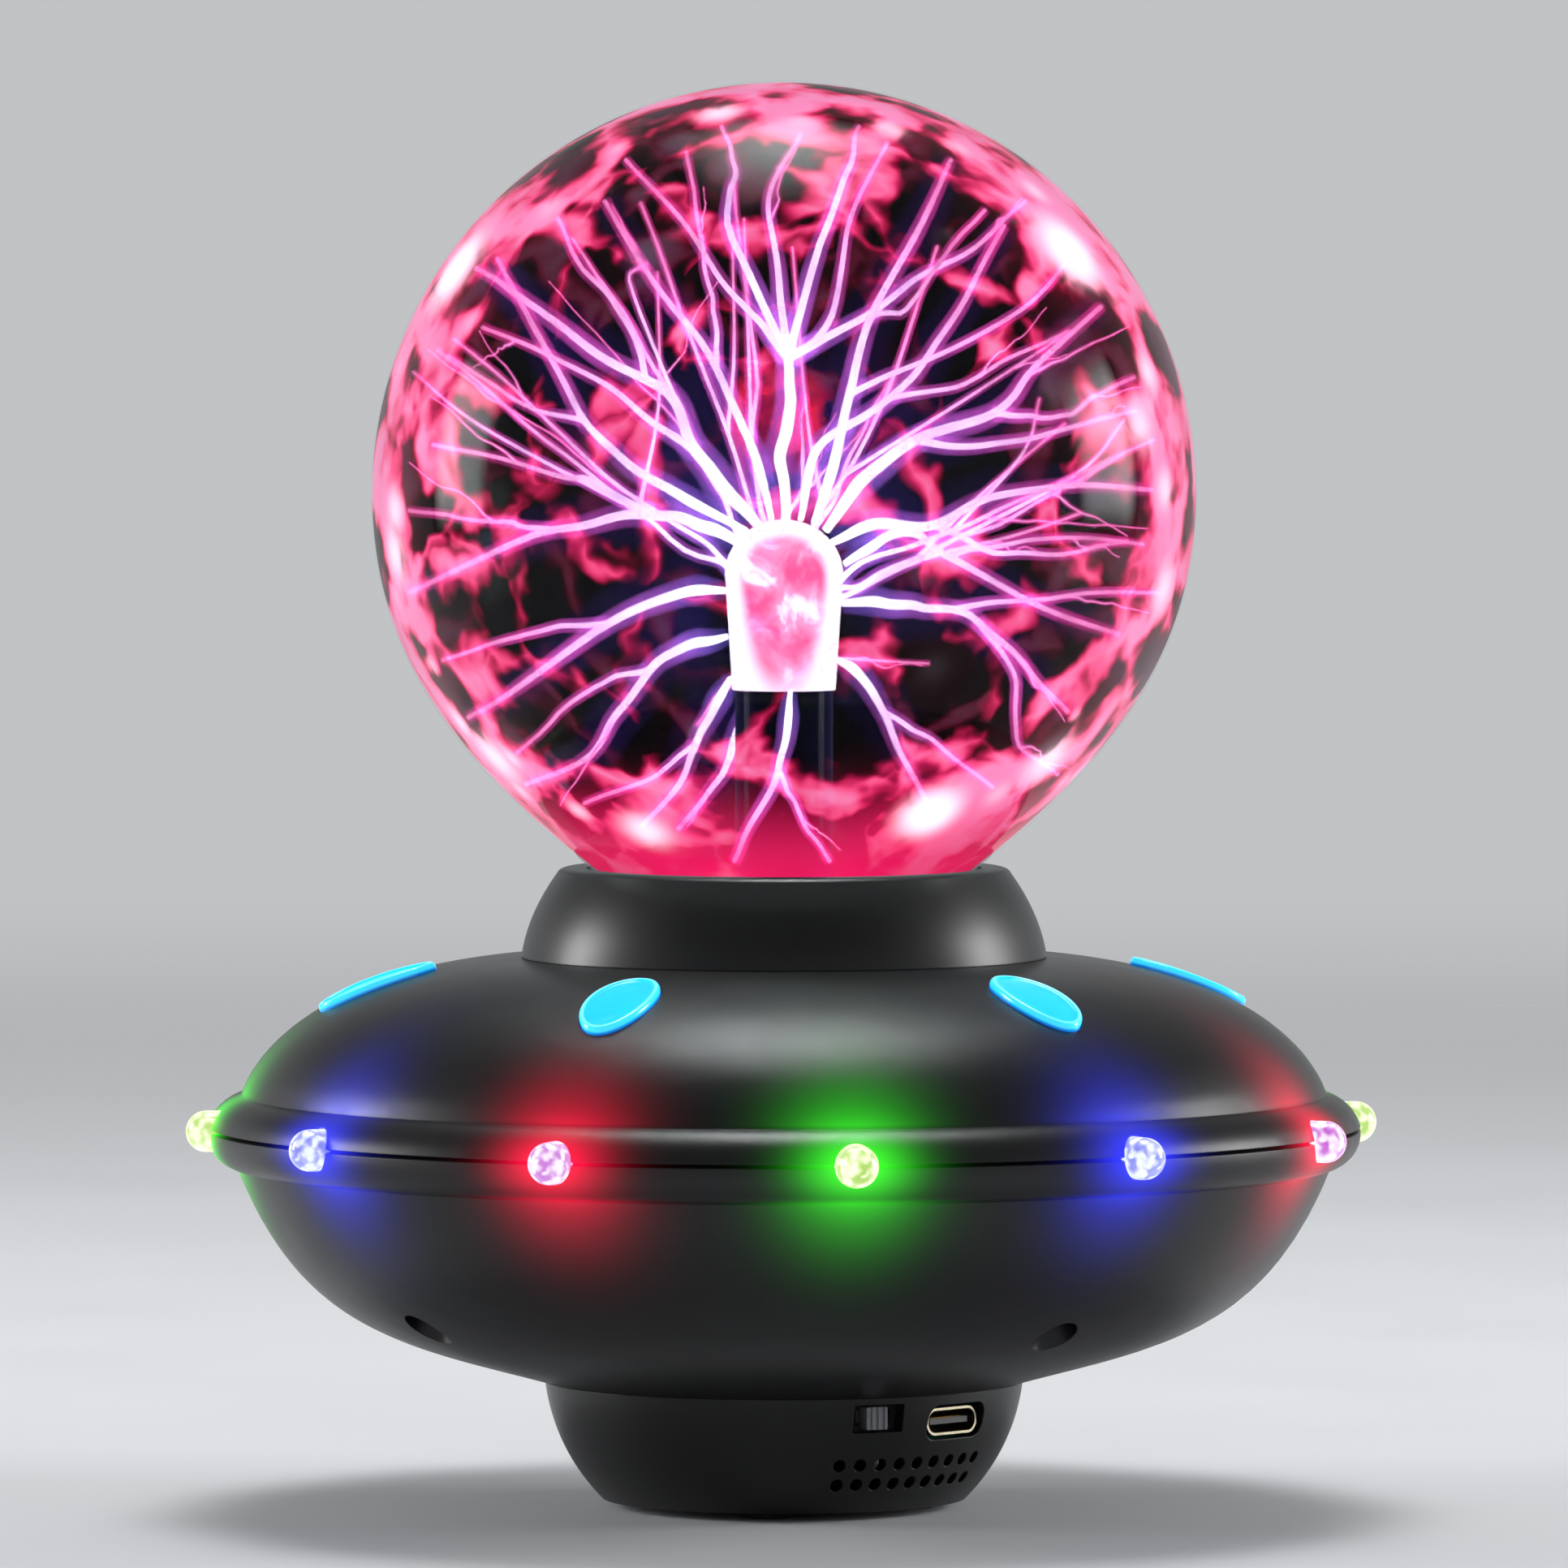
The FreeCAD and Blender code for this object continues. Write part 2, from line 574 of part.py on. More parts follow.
def window():
    """Clear plug with a raised, slightly dished head and a flange behind the dome."""
    reach = 2 * WALL
    head = window_frame(WINDOW_LONG, WINDOW_WIDE, reach, reach).common(dome_body(WINDOW_PROUD))
    dish = window_frame(WINDOW_LONG - 2 * WINDOW_EDGE, WINDOW_WIDE - 2 * WINDOW_EDGE, 0, reach)
    dish = dish.cut(dome_body(WINDOW_PROUD - WINDOW_DISH))
    grow = 2 * WINDOW_FLANGE
    flange = window_frame(WINDOW_LONG + grow, WINDOW_WIDE + grow, 2 * reach, reach)
    flange = flange.common(dome_body(-WALL - SCREW_FIT))
    plug = fused([head, flange]).cut(dome_body(-WALL - SCREW_FIT - WINDOW_FLANGE_T))
    return plug.cut(dish).removeSplitter()


def window_room():
    """Room behind the dome for a window's flange."""
    grow = 2 * (WINDOW_FLANGE + FIT)
    room = window_frame(WINDOW_LONG + grow, WINDOW_WIDE + grow, 4 * WALL, WALL)
    return room.cut(dome_body(-WALL - WINDOW_FLANGE_T - 2 * FIT))


def window_holes():
    hole = window_frame(WINDOW_LONG + 2 * FIT, WINDOW_WIDE + 2 * FIT, 4 * WALL, 2 * WALL)
    return around(hole, spread(WINDOW_COUNT))


def upper_bosses():
    """Four screw bosses over the lamp board, each tied to the dome by a rib above the lamps."""
    x, y = polar(SHELL_SCREW_AT_R, 0)
    low = RIM_Z + BOARD / 2
    rib_low = RIM_Z + LAMP_FLANGE_R + 2 * FIT
    post = rod(UPPER_BOSS_R, low, low + UPPER_BOSS_H, x, y)
    rib = Part.makeBox(RIB, DOME_OUT_R - SHELL_SCREW_AT_R, low + UPPER_BOSS_H - rib_low,
                       FreeCAD.Vector(-RIB / 2, -DOME_OUT_R, rib_low))
    seat = RIM_Z - SHOULDER_DROP
    hole = screw_hole(SHELL_SCREW, x, y, seat, seat + SHELL_SCREW[1] + FIT)
    boss = less(fused([post, rib.common(dome_body(-WALL / 2))]), [hole, window_room()])
    return around(boss, spread(SHELL_SCREWS))


def upper_shell():
    top_side = rod(RIM_R + WALL, RIM_Z, DECK_Z + WALL)
    shell = fused([dome_body(0.0).common(top_side), nose_body(True)])
    shell = less(shell, [dome_body(-WALL), lamp_gallery()])
    socket_out = NECK_R + SLEEVE + WALL + FIT
    socket_low = STEM_LOW_Z - SLEEVE - LIP
    socket = rod(socket_out, socket_low, DECK_Z)
    bore = rod(socket_out - WALL, socket_low + LIP, DECK_Z)
    mouth = rod(LIP_R, socket_low, DECK_Z)
    x, y = polar(COLLAR_SCREW_AT_R, 0)
    collar_holes = around(screw_hole(COLLAR_SCREW, x, y, DECK_Z - WALL, DECK_Z), COLLAR_SCREW_ANGLES)
    whole = fused([shell, socket] + upper_bosses())
    return less(whole, [bore, mouth] + collar_holes + window_holes() + lamp_holes())


# ---------------------------------------------------------------- lamps and their board

def lamp():
    body = front(LAMP_BASE_R, LAMP_CENTRE_R, RIM_Z, LAMP_R)
    flange = front(LAMP_BASE_R, LAMP_BASE_R + LAMP_FLANGE, RIM_Z, LAMP_FLANGE_R)
    return fused([body, flange, Part.makeSphere(LAMP_R, FreeCAD.Vector(0, -LAMP_CENTRE_R, RIM_Z))])


def lamps():
    """Lamp nodes by name: the colours follow each other round the rim."""
    named = {}
    for i, angle in enumerate(spread(LAMPS_EACH * len(LAMP_COLOURS))):
        colour = LAMP_COLOURS[i % len(LAMP_COLOURS)]
        named[f"led_{colour}_{i // len(LAMP_COLOURS) + 1}"] = turned(lamp(), angle)
    return named


def led_leads():
    offset = (BOARD + LEAD) / 2
    pair = [front_slab(LEAD, LEAD, LAMP_BASE_R - LEAD_REACH, LAMP_BASE_R, RIM_Z + side * offset)
            for side in (-1, 1)]
    angles = spread(LAMPS_EACH * len(LAMP_COLOURS))
    return [leg for bar in pair for leg in around(bar, angles)]


def led_ring_board():
    board = ring(RING_IN_R, RING_OUT_R, RIM_Z - BOARD / 2, RIM_Z + BOARD / 2)
    x, y = polar(SHELL_SCREW_AT_R, 0)
    hole = screw_hole(SHELL_SCREW, x, y, RIM_Z - BOARD, RIM_Z + BOARD)
    return less(board, around(hole, spread(SHELL_SCREWS)))


def window_leds():
    at_r = RING_IN_R + WINDOW_LAMP / 2 + WINDOW_LAMP_IN
    chip = block(WINDOW_LAMP, WINDOW_LAMP, WINDOW_LAMP_H, 0, -at_r, RIM_Z + BOARD / 2)
    return around(chip, spread(WINDOW_COUNT))


# ---------------------------------------------------------------- lower shell

def bowl_poles():
    return pulled((BASE_TOP_R, FLOOR_Z), (CREASE_R, BOWL_TOP_Z), BOWL_PULL)


def bowl_body(thinner):
    """Filled bowl up to the rim plane, smaller by thinner all round."""
    side = inset(bowl_poles(), thinner)
    top = (side[3][0], RIM_Z)
    return revolve([bezier(side)] + path([side[3], top, (0, RIM_Z), (0, side[0][1]), side[0]]))


def lower_shell():
    outer = fused([bowl_body(0.0).common(rod(RIM_R, FLOOR_Z, BOWL_TOP_Z)), nose_body(False)])
    shell = less(outer, [bowl_body(WALL), lamp_gallery()])
    x, y = polar(SHELL_SCREW_AT_R, 0)
    tower = rod(BOSS_R, FLOOR_Z, RIM_Z - BOARD / 2, x, y).common(bowl_body(WALL / 2))
    driver_posts = [rod(DRIVER_POST_R, FLOOR_Z, DRIVER_Z, px, py).common(bowl_body(WALL / 2))
                    for px, py in driver_posts_at()]
    whole = fused([shell] + around(tower, spread(SHELL_SCREWS)) + driver_posts)
    shoulder = RIM_Z - SHOULDER_DROP
    recess = fused([rod(RECESS_R, FLOOR_Z, shoulder, x, y), screw_hole(SHELL_SCREW, x, y, shoulder, RIM_Z)])
    cuts = around(recess, spread(SHELL_SCREWS)) + lamp_holes()
    cuts += [rod(WIRE_HOLE_R, FLOOR_Z, FLOOR_Z + 2 * WALL)]
    px, py = polar(POST_AT_R, 0)
    cuts += around(screw_hole(BASE_SCREW, px, py, FLOOR_Z, FLOOR_Z + 2 * WALL), POST_ANGLES)
    cuts += [screw_hole(DRIVER_SCREW, a, b, DRIVER_TOP_Z - DRIVER_SCREW[1] - FIT, DRIVER_Z)
             for a, b in driver_posts_at()]
    return less(whole, cuts)


def shell_screws():
    x, y = polar(SHELL_SCREW_AT_R, 0)
    return around(screw(SHELL_SCREW, x, y, RIM_Z - SHOULDER_DROP), spread(SHELL_SCREWS))


# ---------------------------------------------------------------- base housing, cover and feet

def base_body(thinner):
    low, high = (BASE_LOW_R - thinner, BASE_Z), (BASE_TOP_R - thinner, FLOOR_Z)
    side = bulged(low, high, BASE_BULGE)
    return revolve([side] + path([high, (0, high[1]), (0, low[1]), low]))


def base_radius(z):
    """Outer radius of the base housing at height z, on its bulged side."""
    rise, run = FLOOR_Z - BASE_Z, BASE_TOP_R - BASE_LOW_R
    half = math.hypot(rise, run) / 2
    radius = (half ** 2 + BASE_BULGE ** 2) / (2 * BASE_BULGE)
    back = radius - BASE_BULGE
    centre_r = (BASE_LOW_R + BASE_TOP_R) / 2 - back * rise / (2 * half)
    centre_z = (BASE_Z + FLOOR_Z) / 2 + back * run / (2 * half)
    return centre_r + math.sqrt(radius ** 2 - (z - centre_z) ** 2)


def usb_mouth_r():
    return base_radius(USB_Z) - USB_SINK


def switch_face_r():
    return base_radius(SWITCH_Z) - WALL - SWITCH_GAP


def panel_cuts():
    """Socket recess, switch slot, vents and the notch in the roof that clears the switch."""
    face, beyond = switch_face_r(), BASE_TOP_R + WALL
    usb_cut = front_slab(USB_W + 2 * USB_RECESS_GAP, USB_H + 2 * USB_RECESS_GAP, face, beyond, USB_Z,
                         USB_H / 2)
    slot = front_slab(KNOB + 2 * (KNOB_TRAVEL + FIT), SLOT_H, face, beyond, SWITCH_Z)
    case_room = front_slab(SWITCH_W + 2 * FIT, SWITCH_H + 2 * FIT, face - SWITCH_DEPTH - FIT, face + FIT,
                           SWITCH_Z)
    return [turned(usb_cut, USB_ANGLE), turned(slot, SWITCH_ANGLE), turned(case_room, SWITCH_ANGLE)] + vents()


def base_housing():
    room = base_body(WALL).common(rod(BASE_TOP_R, BASE_Z, FLOOR_Z - BASE_ROOF))
    shell = base_body(0.0).cut(room)
    x, y = polar(POST_AT_R, 0)
    posts = around(rod(POST_R, BASE_Z + COVER, FLOOR_Z, x, y), POST_ANGLES)
    posts += [rod(CONTROL_POST_R, CONTROL_TOP_Z, FLOOR_Z, px, py) for px, py in CONTROL_POSTS]
    cuts = [rod(WIRE_HOLE_R, FLOOR_Z - 2 * BASE_ROOF, FLOOR_Z)]
    cuts += around(screw_hole(BASE_SCREW, x, y, FLOOR_Z + WALL - BASE_SCREW[1] - FIT, FLOOR_Z), POST_ANGLES)
    cuts += around(screw_hole(COVER_SCREW, x, y, BASE_Z, cover_seat_z() + COVER_SCREW[1] + FIT), POST_ANGLES)
    cuts += [screw_hole(BOARD_SCREW, px, py, CONTROL_TOP_Z, CONTROL_BOARD_Z + BOARD_SCREW[1] + FIT)
             for px, py in CONTROL_POSTS]
    return less(fused([shell] + posts), cuts + panel_cuts())


def vents():
    pitch = math.degrees(VENT_PITCH / (BASE_LOW_R + BASE_TOP_R) * 2)
    angles = [pitch * (i - (VENTS_IN_ROW - 1) / 2) for i in range(VENTS_IN_ROW)]
    holes = []
    for lift in VENT_LIFTS:
        holes += around(front(BASE_LOW_R - 2 * WALL, BASE_TOP_R + WALL, BASE_Z + lift, VENT_R), angles)
    return holes


def base_screws():
    x, y = polar(POST_AT_R, 0)
    return around(screw(BASE_SCREW, x, y, FLOOR_Z + WALL, up=False), POST_ANGLES)


def cover_seat_z():
    return BASE_Z + COVER_SCREW[3] + FIT


def bottom_cover():
    disc = rod(COVER_R, BASE_Z, BASE_Z + COVER)
    x, y = polar(POST_AT_R, 0)
    heads = around(rod(COVER_SCREW[2] + 2 * FIT, BASE_Z, cover_seat_z(), x, y), POST_ANGLES)
    holes = around(screw_hole(COVER_SCREW, x, y, BASE_Z, BASE_Z + COVER), POST_ANGLES)
    fx, fy = polar(FOOT_AT_R, 0)
    pockets = around(rod(FOOT_R + SCREW_FIT, BASE_Z, FOOT_T, fx, fy), FOOT_ANGLES)
    return less(disc, heads + holes + pockets)


def cover_screws():
    x, y = polar(POST_AT_R, 0)
    return around(screw(COVER_SCREW, x, y, cover_seat_z()), POST_ANGLES)


def rubber_foot(angle):
    x, y = polar(FOOT_AT_R, 0)
    disc = rod(FOOT_R, 0, FOOT_T, x, y)
    bottom = [e for e in disc.Edges if abs(e.BoundBox.ZMax) < FIT / 2]
    return turned(disc.makeFillet(FOOT_PROUD * FOOT_ROUND, bottom), angle)


# ---------------------------------------------------------------- control board and panel parts

def control_board():
    """Board cut to the curve of the housing, behind the panel."""
    slab = Part.makeBox(CONTROL_BOARD_W, BASE_TOP_R - CONTROL_BOARD_BACK, BOARD,
                        FreeCAD.Vector(-CONTROL_BOARD_W / 2, -BASE_TOP_R, CONTROL_BOARD_Z))
    holes = [screw_hole(BOARD_SCREW, px, py, CONTROL_BOARD_Z, CONTROL_TOP_Z) for px, py in CONTROL_POSTS]
    return less(slab.common(base_body(WALL + CONTROL_BOARD_GAP)), holes)


def board_screws():
    return [screw(BOARD_SCREW, px, py, CONTROL_BOARD_Z) for px, py in CONTROL_POSTS]


def usb_inside(r_low, r_high):
    """Bar that fills the socket's shell between two distances from the axis."""
    return front_slab(USB_W - 2 * USB_SHELL, USB_H - 2 * USB_SHELL, r_low, r_high, USB_Z,
                      USB_H / 2 - USB_SHELL - SCREW_FIT)


def usb_shell():
    mouth = usb_mouth_r()
    back = mouth - USB_L
    outer = front_slab(USB_W, USB_H, back, mouth, USB_Z, USB_H / 2 - SCREW_FIT)
    return turned(outer.cut(usb_inside(back + USB_SHELL, mouth)), USB_ANGLE)


def usb_tongue():
    mouth = usb_mouth_r()
    floor = mouth - USB_L + USB_SHELL
    plug = usb_inside(floor, floor + USB_TONGUE_BACK)
    blade = front_slab(USB_TONGUE_W, USB_TONGUE_T, floor, mouth - USB_TONGUE_SHORT, USB_Z)
    return turned(fused([plug, blade]), USB_ANGLE)


def switch_case():
    face = switch_face_r()
    back = face - SWITCH_DEPTH
    box = front_slab(SWITCH_W, SWITCH_H, back, face, SWITCH_Z)
    travel = 2 * (KNOB_TRAVEL + FIT)
    room = front_slab(KNOB + travel, KNOB + 2 * FIT, back + CASE_WALL, face - CASE_WALL, SWITCH_Z)
    mouth = front_slab(KNOB_NECK + travel, KNOB_NECK + 2 * FIT, back + CASE_WALL, face, SWITCH_Z)
    return turned(less(box, [room, mouth]), SWITCH_ANGLE)


def switch_knob():
    """Ribbed button outside the switch, on a neck from the carriage that slides in it."""
    low = switch_face_r() + FIT
    high = base_radius(SWITCH_Z) - KNOB_SINK
    inner = switch_face_r() - CASE_WALL - FIT
    button = front_slab(KNOB, KNOB, low, high, SWITCH_Z, KNOB_ROUND)
    neck = front_slab(KNOB_NECK, KNOB_NECK, inner - KNOB_CARRIAGE, (low + high) / 2, SWITCH_Z)
    carriage = front_slab(KNOB, KNOB, inner - KNOB_CARRIAGE, inner, SWITCH_Z)
    grips = [front_slab(GRIP_W, KNOB, high - GRIP_DEPTH, high + GRIP_DEPTH, SWITCH_Z) for _ in range(GRIPS)]
    for i, grip in enumerate(grips):
        grip.translate(FreeCAD.Vector((i - (GRIPS - 1) / 2) * GRIP_PITCH, 0, 0))
    return turned(less(fused([button, neck, carriage]), grips), SWITCH_ANGLE)


def microphone():
    return rod(MIC_R, CONTROL_BOARD_Z - MIC_H, CONTROL_BOARD_Z, 0, MIC_AT_Y)


def control_parts():
    """Processor, resistor arrays and crystal on the control board."""
    return [block(*size, x, y, CONTROL_TOP_Z) for *size, x, y in CHIPS]


# ---------------------------------------------------------------- driver board

def driver_posts_at():
    x, y = DRIVER_W / 2 - DRIVER_POST_IN, DRIVER_D / 2 - DRIVER_POST_IN
    return [(-x, -y), (x, -y), (-x, y), (x, y)]


def driver_board():
    slab = block(DRIVER_W, DRIVER_D, BOARD, 0, 0, DRIVER_Z)
    return less(slab, [screw_hole(DRIVER_SCREW, a, b, DRIVER_Z, DRIVER_TOP_Z) for a, b in driver_posts_at()])


def driver_board_screws():
    return [screw(DRIVER_SCREW, a, b, DRIVER_TOP_Z, up=False) for a, b in driver_posts_at()]


def transformer_core():
    """Closed ferrite frame with a round leg for the coil up its middle."""
    x, y = CORE_AT
    width, depth, height = CORE_SIZE
    gap_w, gap_h = CORE_WINDOW
    opening = block(gap_w, depth * 2, gap_h, x, y, DRIVER_TOP_Z + (height - gap_h) / 2)
    leg = rod(COIL_LEG_R, DRIVER_TOP_Z, DRIVER_TOP_Z + height, x, y)
    return fused([block(width, depth, height, x, y, DRIVER_TOP_Z).cut(opening), leg])


def coil_r():
    return CORE_WINDOW[0] / 2 - FIT


def transformer_coil():
    x, y = CORE_AT
    low = DRIVER_TOP_Z + (CORE_SIZE[2] - COIL_H) / 2
    return less(rod(coil_r(), low, low + COIL_H, x, y),
                [rod(COIL_LEG_R + SCREW_FIT, low, low + COIL_H, x, y)])


def capacitors():
    return [rod(r, DRIVER_TOP_Z, DRIVER_TOP_Z + height, x, y) for x, y, r, height in CAPACITORS]


def heat_sink():
    x, y = SINK_AT
    width, plate, height = SINK_SIZE
    parts = [block(width, plate, height, x, y, DRIVER_TOP_Z)]
    step = (width - SINK_FIN_T) / (SINK_FINS - 1)
    for i in range(SINK_FINS):
        fin_x = x - (width - SINK_FIN_T) / 2 + i * step
        parts.append(block(SINK_FIN_T, SINK_FIN + plate, height, fin_x, y + SINK_FIN / 2, DRIVER_TOP_Z))
    return fused(parts)


def driver_transistor():
    x, y = SINK_AT
    width, depth, height = TRANSISTOR_SIZE
    return block(width, depth, height, x, y - (SINK_SIZE[1] + depth) / 2, DRIVER_TOP_Z)


# ---------------------------------------------------------------- leads

def hv_lead():
    """From the front of the coil round to the contact rod under the neck."""
    x, y = CORE_AT
    y -= coil_r()
    z = DRIVER_TOP_Z + CORE_SIZE[2] / 2
    end_z = STEM_LOW_Z - ROD_DROP
    route = [(x, y, z), (x, y - 6.6, z), (x + 2.0, y - 11.6, z + 3.4), (x + 6.0, y - 12.6, z + 8.9),
             (-1.0, -9.5, end_z - 6.0), (-0.3, -3.6, end_z - 7.4), (0, 0, end_z - 4.0), (0, 0, end_z)]
    return lead_tube("hv_lead", HV_LEAD_D, route)


def led_harness():
    """From the driver board out and up to the lamp board."""
    rise = RIM_Z - BOARD / 2 - DRIVER_TOP_Z
    end_r = RING_IN_R + HARNESS_IN
    route = []
    for r, share, drift in ((26.0, 0.0, 0.0), (26.0, 0.22, 0.0), (30.0, 0.43, 2.0), (37.5, 0.54, 3.0),
                            (end_r - 3.5, 0.61, 2.0), (end_r, 0.78, 0.0), (end_r, 1.0, 0.0)):
        x, y = polar(r, HARNESS_ANGLE + drift)
        route.append((x, y, DRIVER_TOP_Z + rise * share))
    return lead_tube("led_harness", HARNESS_D, route)


def supply_leads():
    """Two leads from the control board up through the floor to the driver board."""
    rise = DRIVER_Z - CONTROL_TOP_Z
    tubes = []
    for x in SUPPLY_LEADS_X:
        out = x * 1.3
        route = [(x, -5.6, CONTROL_TOP_Z), (x, -5.6, CONTROL_TOP_Z + rise / 3),
                 (out, -4.4, DRIVER_Z - rise / 3), (out, -4.4, DRIVER_Z)]
        tubes.append(lead_tube("supply_lead", SUPPLY_LEAD_D, route))
    return tubes


# ---------------------------------------------------------------- the parts, one file each

def all_parts():
    parts = {
        "glass_globe": glass_globe(), "electrode_stem": electrode_stem(),
        "electrode_capsule": electrode_capsule(), "stem_contact": stem_contact(), "hv_boot": hv_boot(),
        "globe_gasket": globe_gasket(), "neck_sleeve": neck_sleeve(), "globe_collar": globe_collar(),
        "collar_screws": collar_screws(), "upper_shell": upper_shell(),
        "led_ring_board": led_ring_board(), "led_leads": led_leads(), "window_leds": window_leds(),
        "lower_shell": lower_shell(), "shell_screws": shell_screws(), "base_housing": base_housing(),
        "base_screws": base_screws(), "bottom_cover": bottom_cover(), "cover_screws": cover_screws(),
        "control_board": control_board(), "board_screws": board_screws(), "usb_shell": usb_shell(),
        "usb_tongue": usb_tongue(), "switch_case": switch_case(), "switch_knob": switch_knob(),
        "microphone": microphone(), "control_parts": control_parts(), "driver_board": driver_board(),
        "driver_board_screws": driver_board_screws(), "transformer_core": transformer_core(),
        "transformer_coil": transformer_coil(), "capacitors": capacitors(), "heat_sink": heat_sink(),
        "driver_transistor": driver_transistor(), "hv_lead": hv_lead(), "led_harness": led_harness(),
        "supply_leads": supply_leads(),
    }
    parts.update(lamps())
    for i, angle in enumerate(spread(WINDOW_COUNT)):
        parts[f"window_{i + 1}"] = turned(window(), angle)
    for i, angle in enumerate(FOOT_ANGLES):
        parts[f"rubber_foot_{i + 1}"] = rubber_foot(angle)
    return parts


os.makedirs("parts", exist_ok=True)
for name, shape in all_parts().items():
    whole = Part.makeCompound(shape) if isinstance(shape, list) else shape
    solids = whole.Solids
    sound = all(solid.isValid() and solid.isClosed() for solid in solids)
    print(f"{name:22s} solids {len(solids):3d} volume {whole.Volume:10.1f} sound {sound}")
    (solids[0] if len(solids) == 1 else Part.makeCompound(solids)).exportStep(f"parts/{name}.step")
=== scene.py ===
import math
import bpy
import numpy as np
from mathutils import Matrix, Vector


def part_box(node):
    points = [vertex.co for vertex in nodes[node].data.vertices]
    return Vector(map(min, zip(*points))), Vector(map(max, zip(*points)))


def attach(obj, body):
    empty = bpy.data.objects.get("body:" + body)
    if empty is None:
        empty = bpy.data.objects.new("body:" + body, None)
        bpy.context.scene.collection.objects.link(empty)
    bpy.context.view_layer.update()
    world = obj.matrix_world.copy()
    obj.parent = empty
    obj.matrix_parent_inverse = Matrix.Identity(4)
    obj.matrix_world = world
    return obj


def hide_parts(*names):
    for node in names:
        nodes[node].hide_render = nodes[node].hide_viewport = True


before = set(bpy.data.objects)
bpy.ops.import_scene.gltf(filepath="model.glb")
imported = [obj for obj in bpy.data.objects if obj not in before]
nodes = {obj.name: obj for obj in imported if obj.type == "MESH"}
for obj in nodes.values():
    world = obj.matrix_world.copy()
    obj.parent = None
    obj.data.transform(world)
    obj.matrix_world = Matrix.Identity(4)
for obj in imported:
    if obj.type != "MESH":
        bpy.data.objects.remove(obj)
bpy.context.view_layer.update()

# Base housing: the round foot that carries everything, injection moulded in black ABS.
# The mould is spark-eroded to a fine satin, so light spreads into soft broad patches on it.

MM = 0.001
ABS_BLACK = "#0d0d0e"
ABS_BLACK_WORN = "#131314"
ABS_GRAIN = 0.45              # mm; the real grain is about 0.05 mm, drawn coarser so that it shows at all
ABS_GRAIN_DEPTH = 0.0022      # mm
ABS_CLOUD = 24.0              # mm, slow change of gloss where the melt ran in
ABS_EDGE = 0.22               # mm, radius of the moulded corners
ABS_MIRROR = 0.34             # the satin scatters part of what would mirror
ABS_IOR = 1.53
ABS_ROUGH = (0.33, 0.40)      # roughness, from the glossiest patch to the dullest


def linear(hexed):
    """A linear RGBA colour from an sRGB hex value."""
    parts = [int(hexed[i:i + 2], 16) / 255 for i in (1, 3, 5)]
    return [p / 12.92 if p <= 0.04045 else ((p + 0.055) / 1.055) ** 2.4 for p in parts] + [1.0]


def node(tree, kind, inputs=None, out=0, **settings):
    """Adds a node and gives one of its outputs, or several by a slice.

    An input takes a value, a hex colour or another node's output."""
    made = tree.nodes.new("ShaderNode" + kind)
    for name, value in settings.items():
        setattr(made, name, value)
    for key, value in (inputs or {}).items():
        if isinstance(value, bpy.types.NodeSocket):
            tree.links.new(value, made.inputs[key])
        else:
            made.inputs[key].default_value = linear(value) if isinstance(value, str) else value
    return made.outputs[out] if made.outputs else made


def material(name):
    """A material with an empty node tree."""
    made = bpy.data.materials.new(name)
    made.use_nodes = True
    made.node_tree.nodes.clear()
    return made


def dress(finish, *names):
    """Gives CAD nodes their finish."""
    for name in names:
        slots = nodes[name].data.materials
        slots.clear()
        slots.append(finish)


def abs_skin(tree, lit=None):
    """The shader of moulded ABS. lit holds the inputs for lamp light painted on it as emission, if any."""
    place = node(tree, "TexCoord", out="Object")
    cloud = node(tree, "TexNoise", {"Vector": place, "Scale": 1 / (ABS_CLOUD * MM), "Detail": 3.0})
    colour = node(tree, "Mix", {0: cloud, 6: ABS_BLACK, 7: ABS_BLACK_WORN}, out=2, data_type="RGBA")
    rough = node(tree, "MapRange", {"Value": cloud, "From Min": 0.3, "From Max": 0.7,
                                    "To Min": ABS_ROUGH[0], "To Max": ABS_ROUGH[1]})
    grain = node(tree, "TexNoise", {"Vector": place, "Scale": 1 / (ABS_GRAIN * MM), "Detail": 2.0})
    edge = node(tree, "Bevel", {"Radius": ABS_EDGE * MM}, samples=4)
    bump = node(tree, "Bump", {"Height": grain, "Strength": 1.0,
                               "Distance": ABS_GRAIN_DEPTH * MM, "Normal": edge})
    return node(tree, "BsdfPrincipled", {"Base Color": colour, "Roughness": rough, "Normal": bump,
                                         "IOR": ABS_IOR, "Specular IOR Level": ABS_MIRROR,
                                         **(lit or {})})


# Satin ABS, moulded: near-black with a soft sheen, and a thin light line along its corners.
black_abs = material("abs_moulded_satin")
tree = black_abs.node_tree
node(tree, "OutputMaterial", {"Surface": abs_skin(tree)})
dress(black_abs, "base_housing", "bottom_cover")

# Rubber feet: the four black discs that the ball stands on.
# They are punched from rubber sheet and stuck into the bottom cover.

RUBBER_BLACK = "#101011"
RUBBER_DUSTY = "#262626"
RUBBER_PORE = 0.6             # mm, bloom and pores of the punched sheet


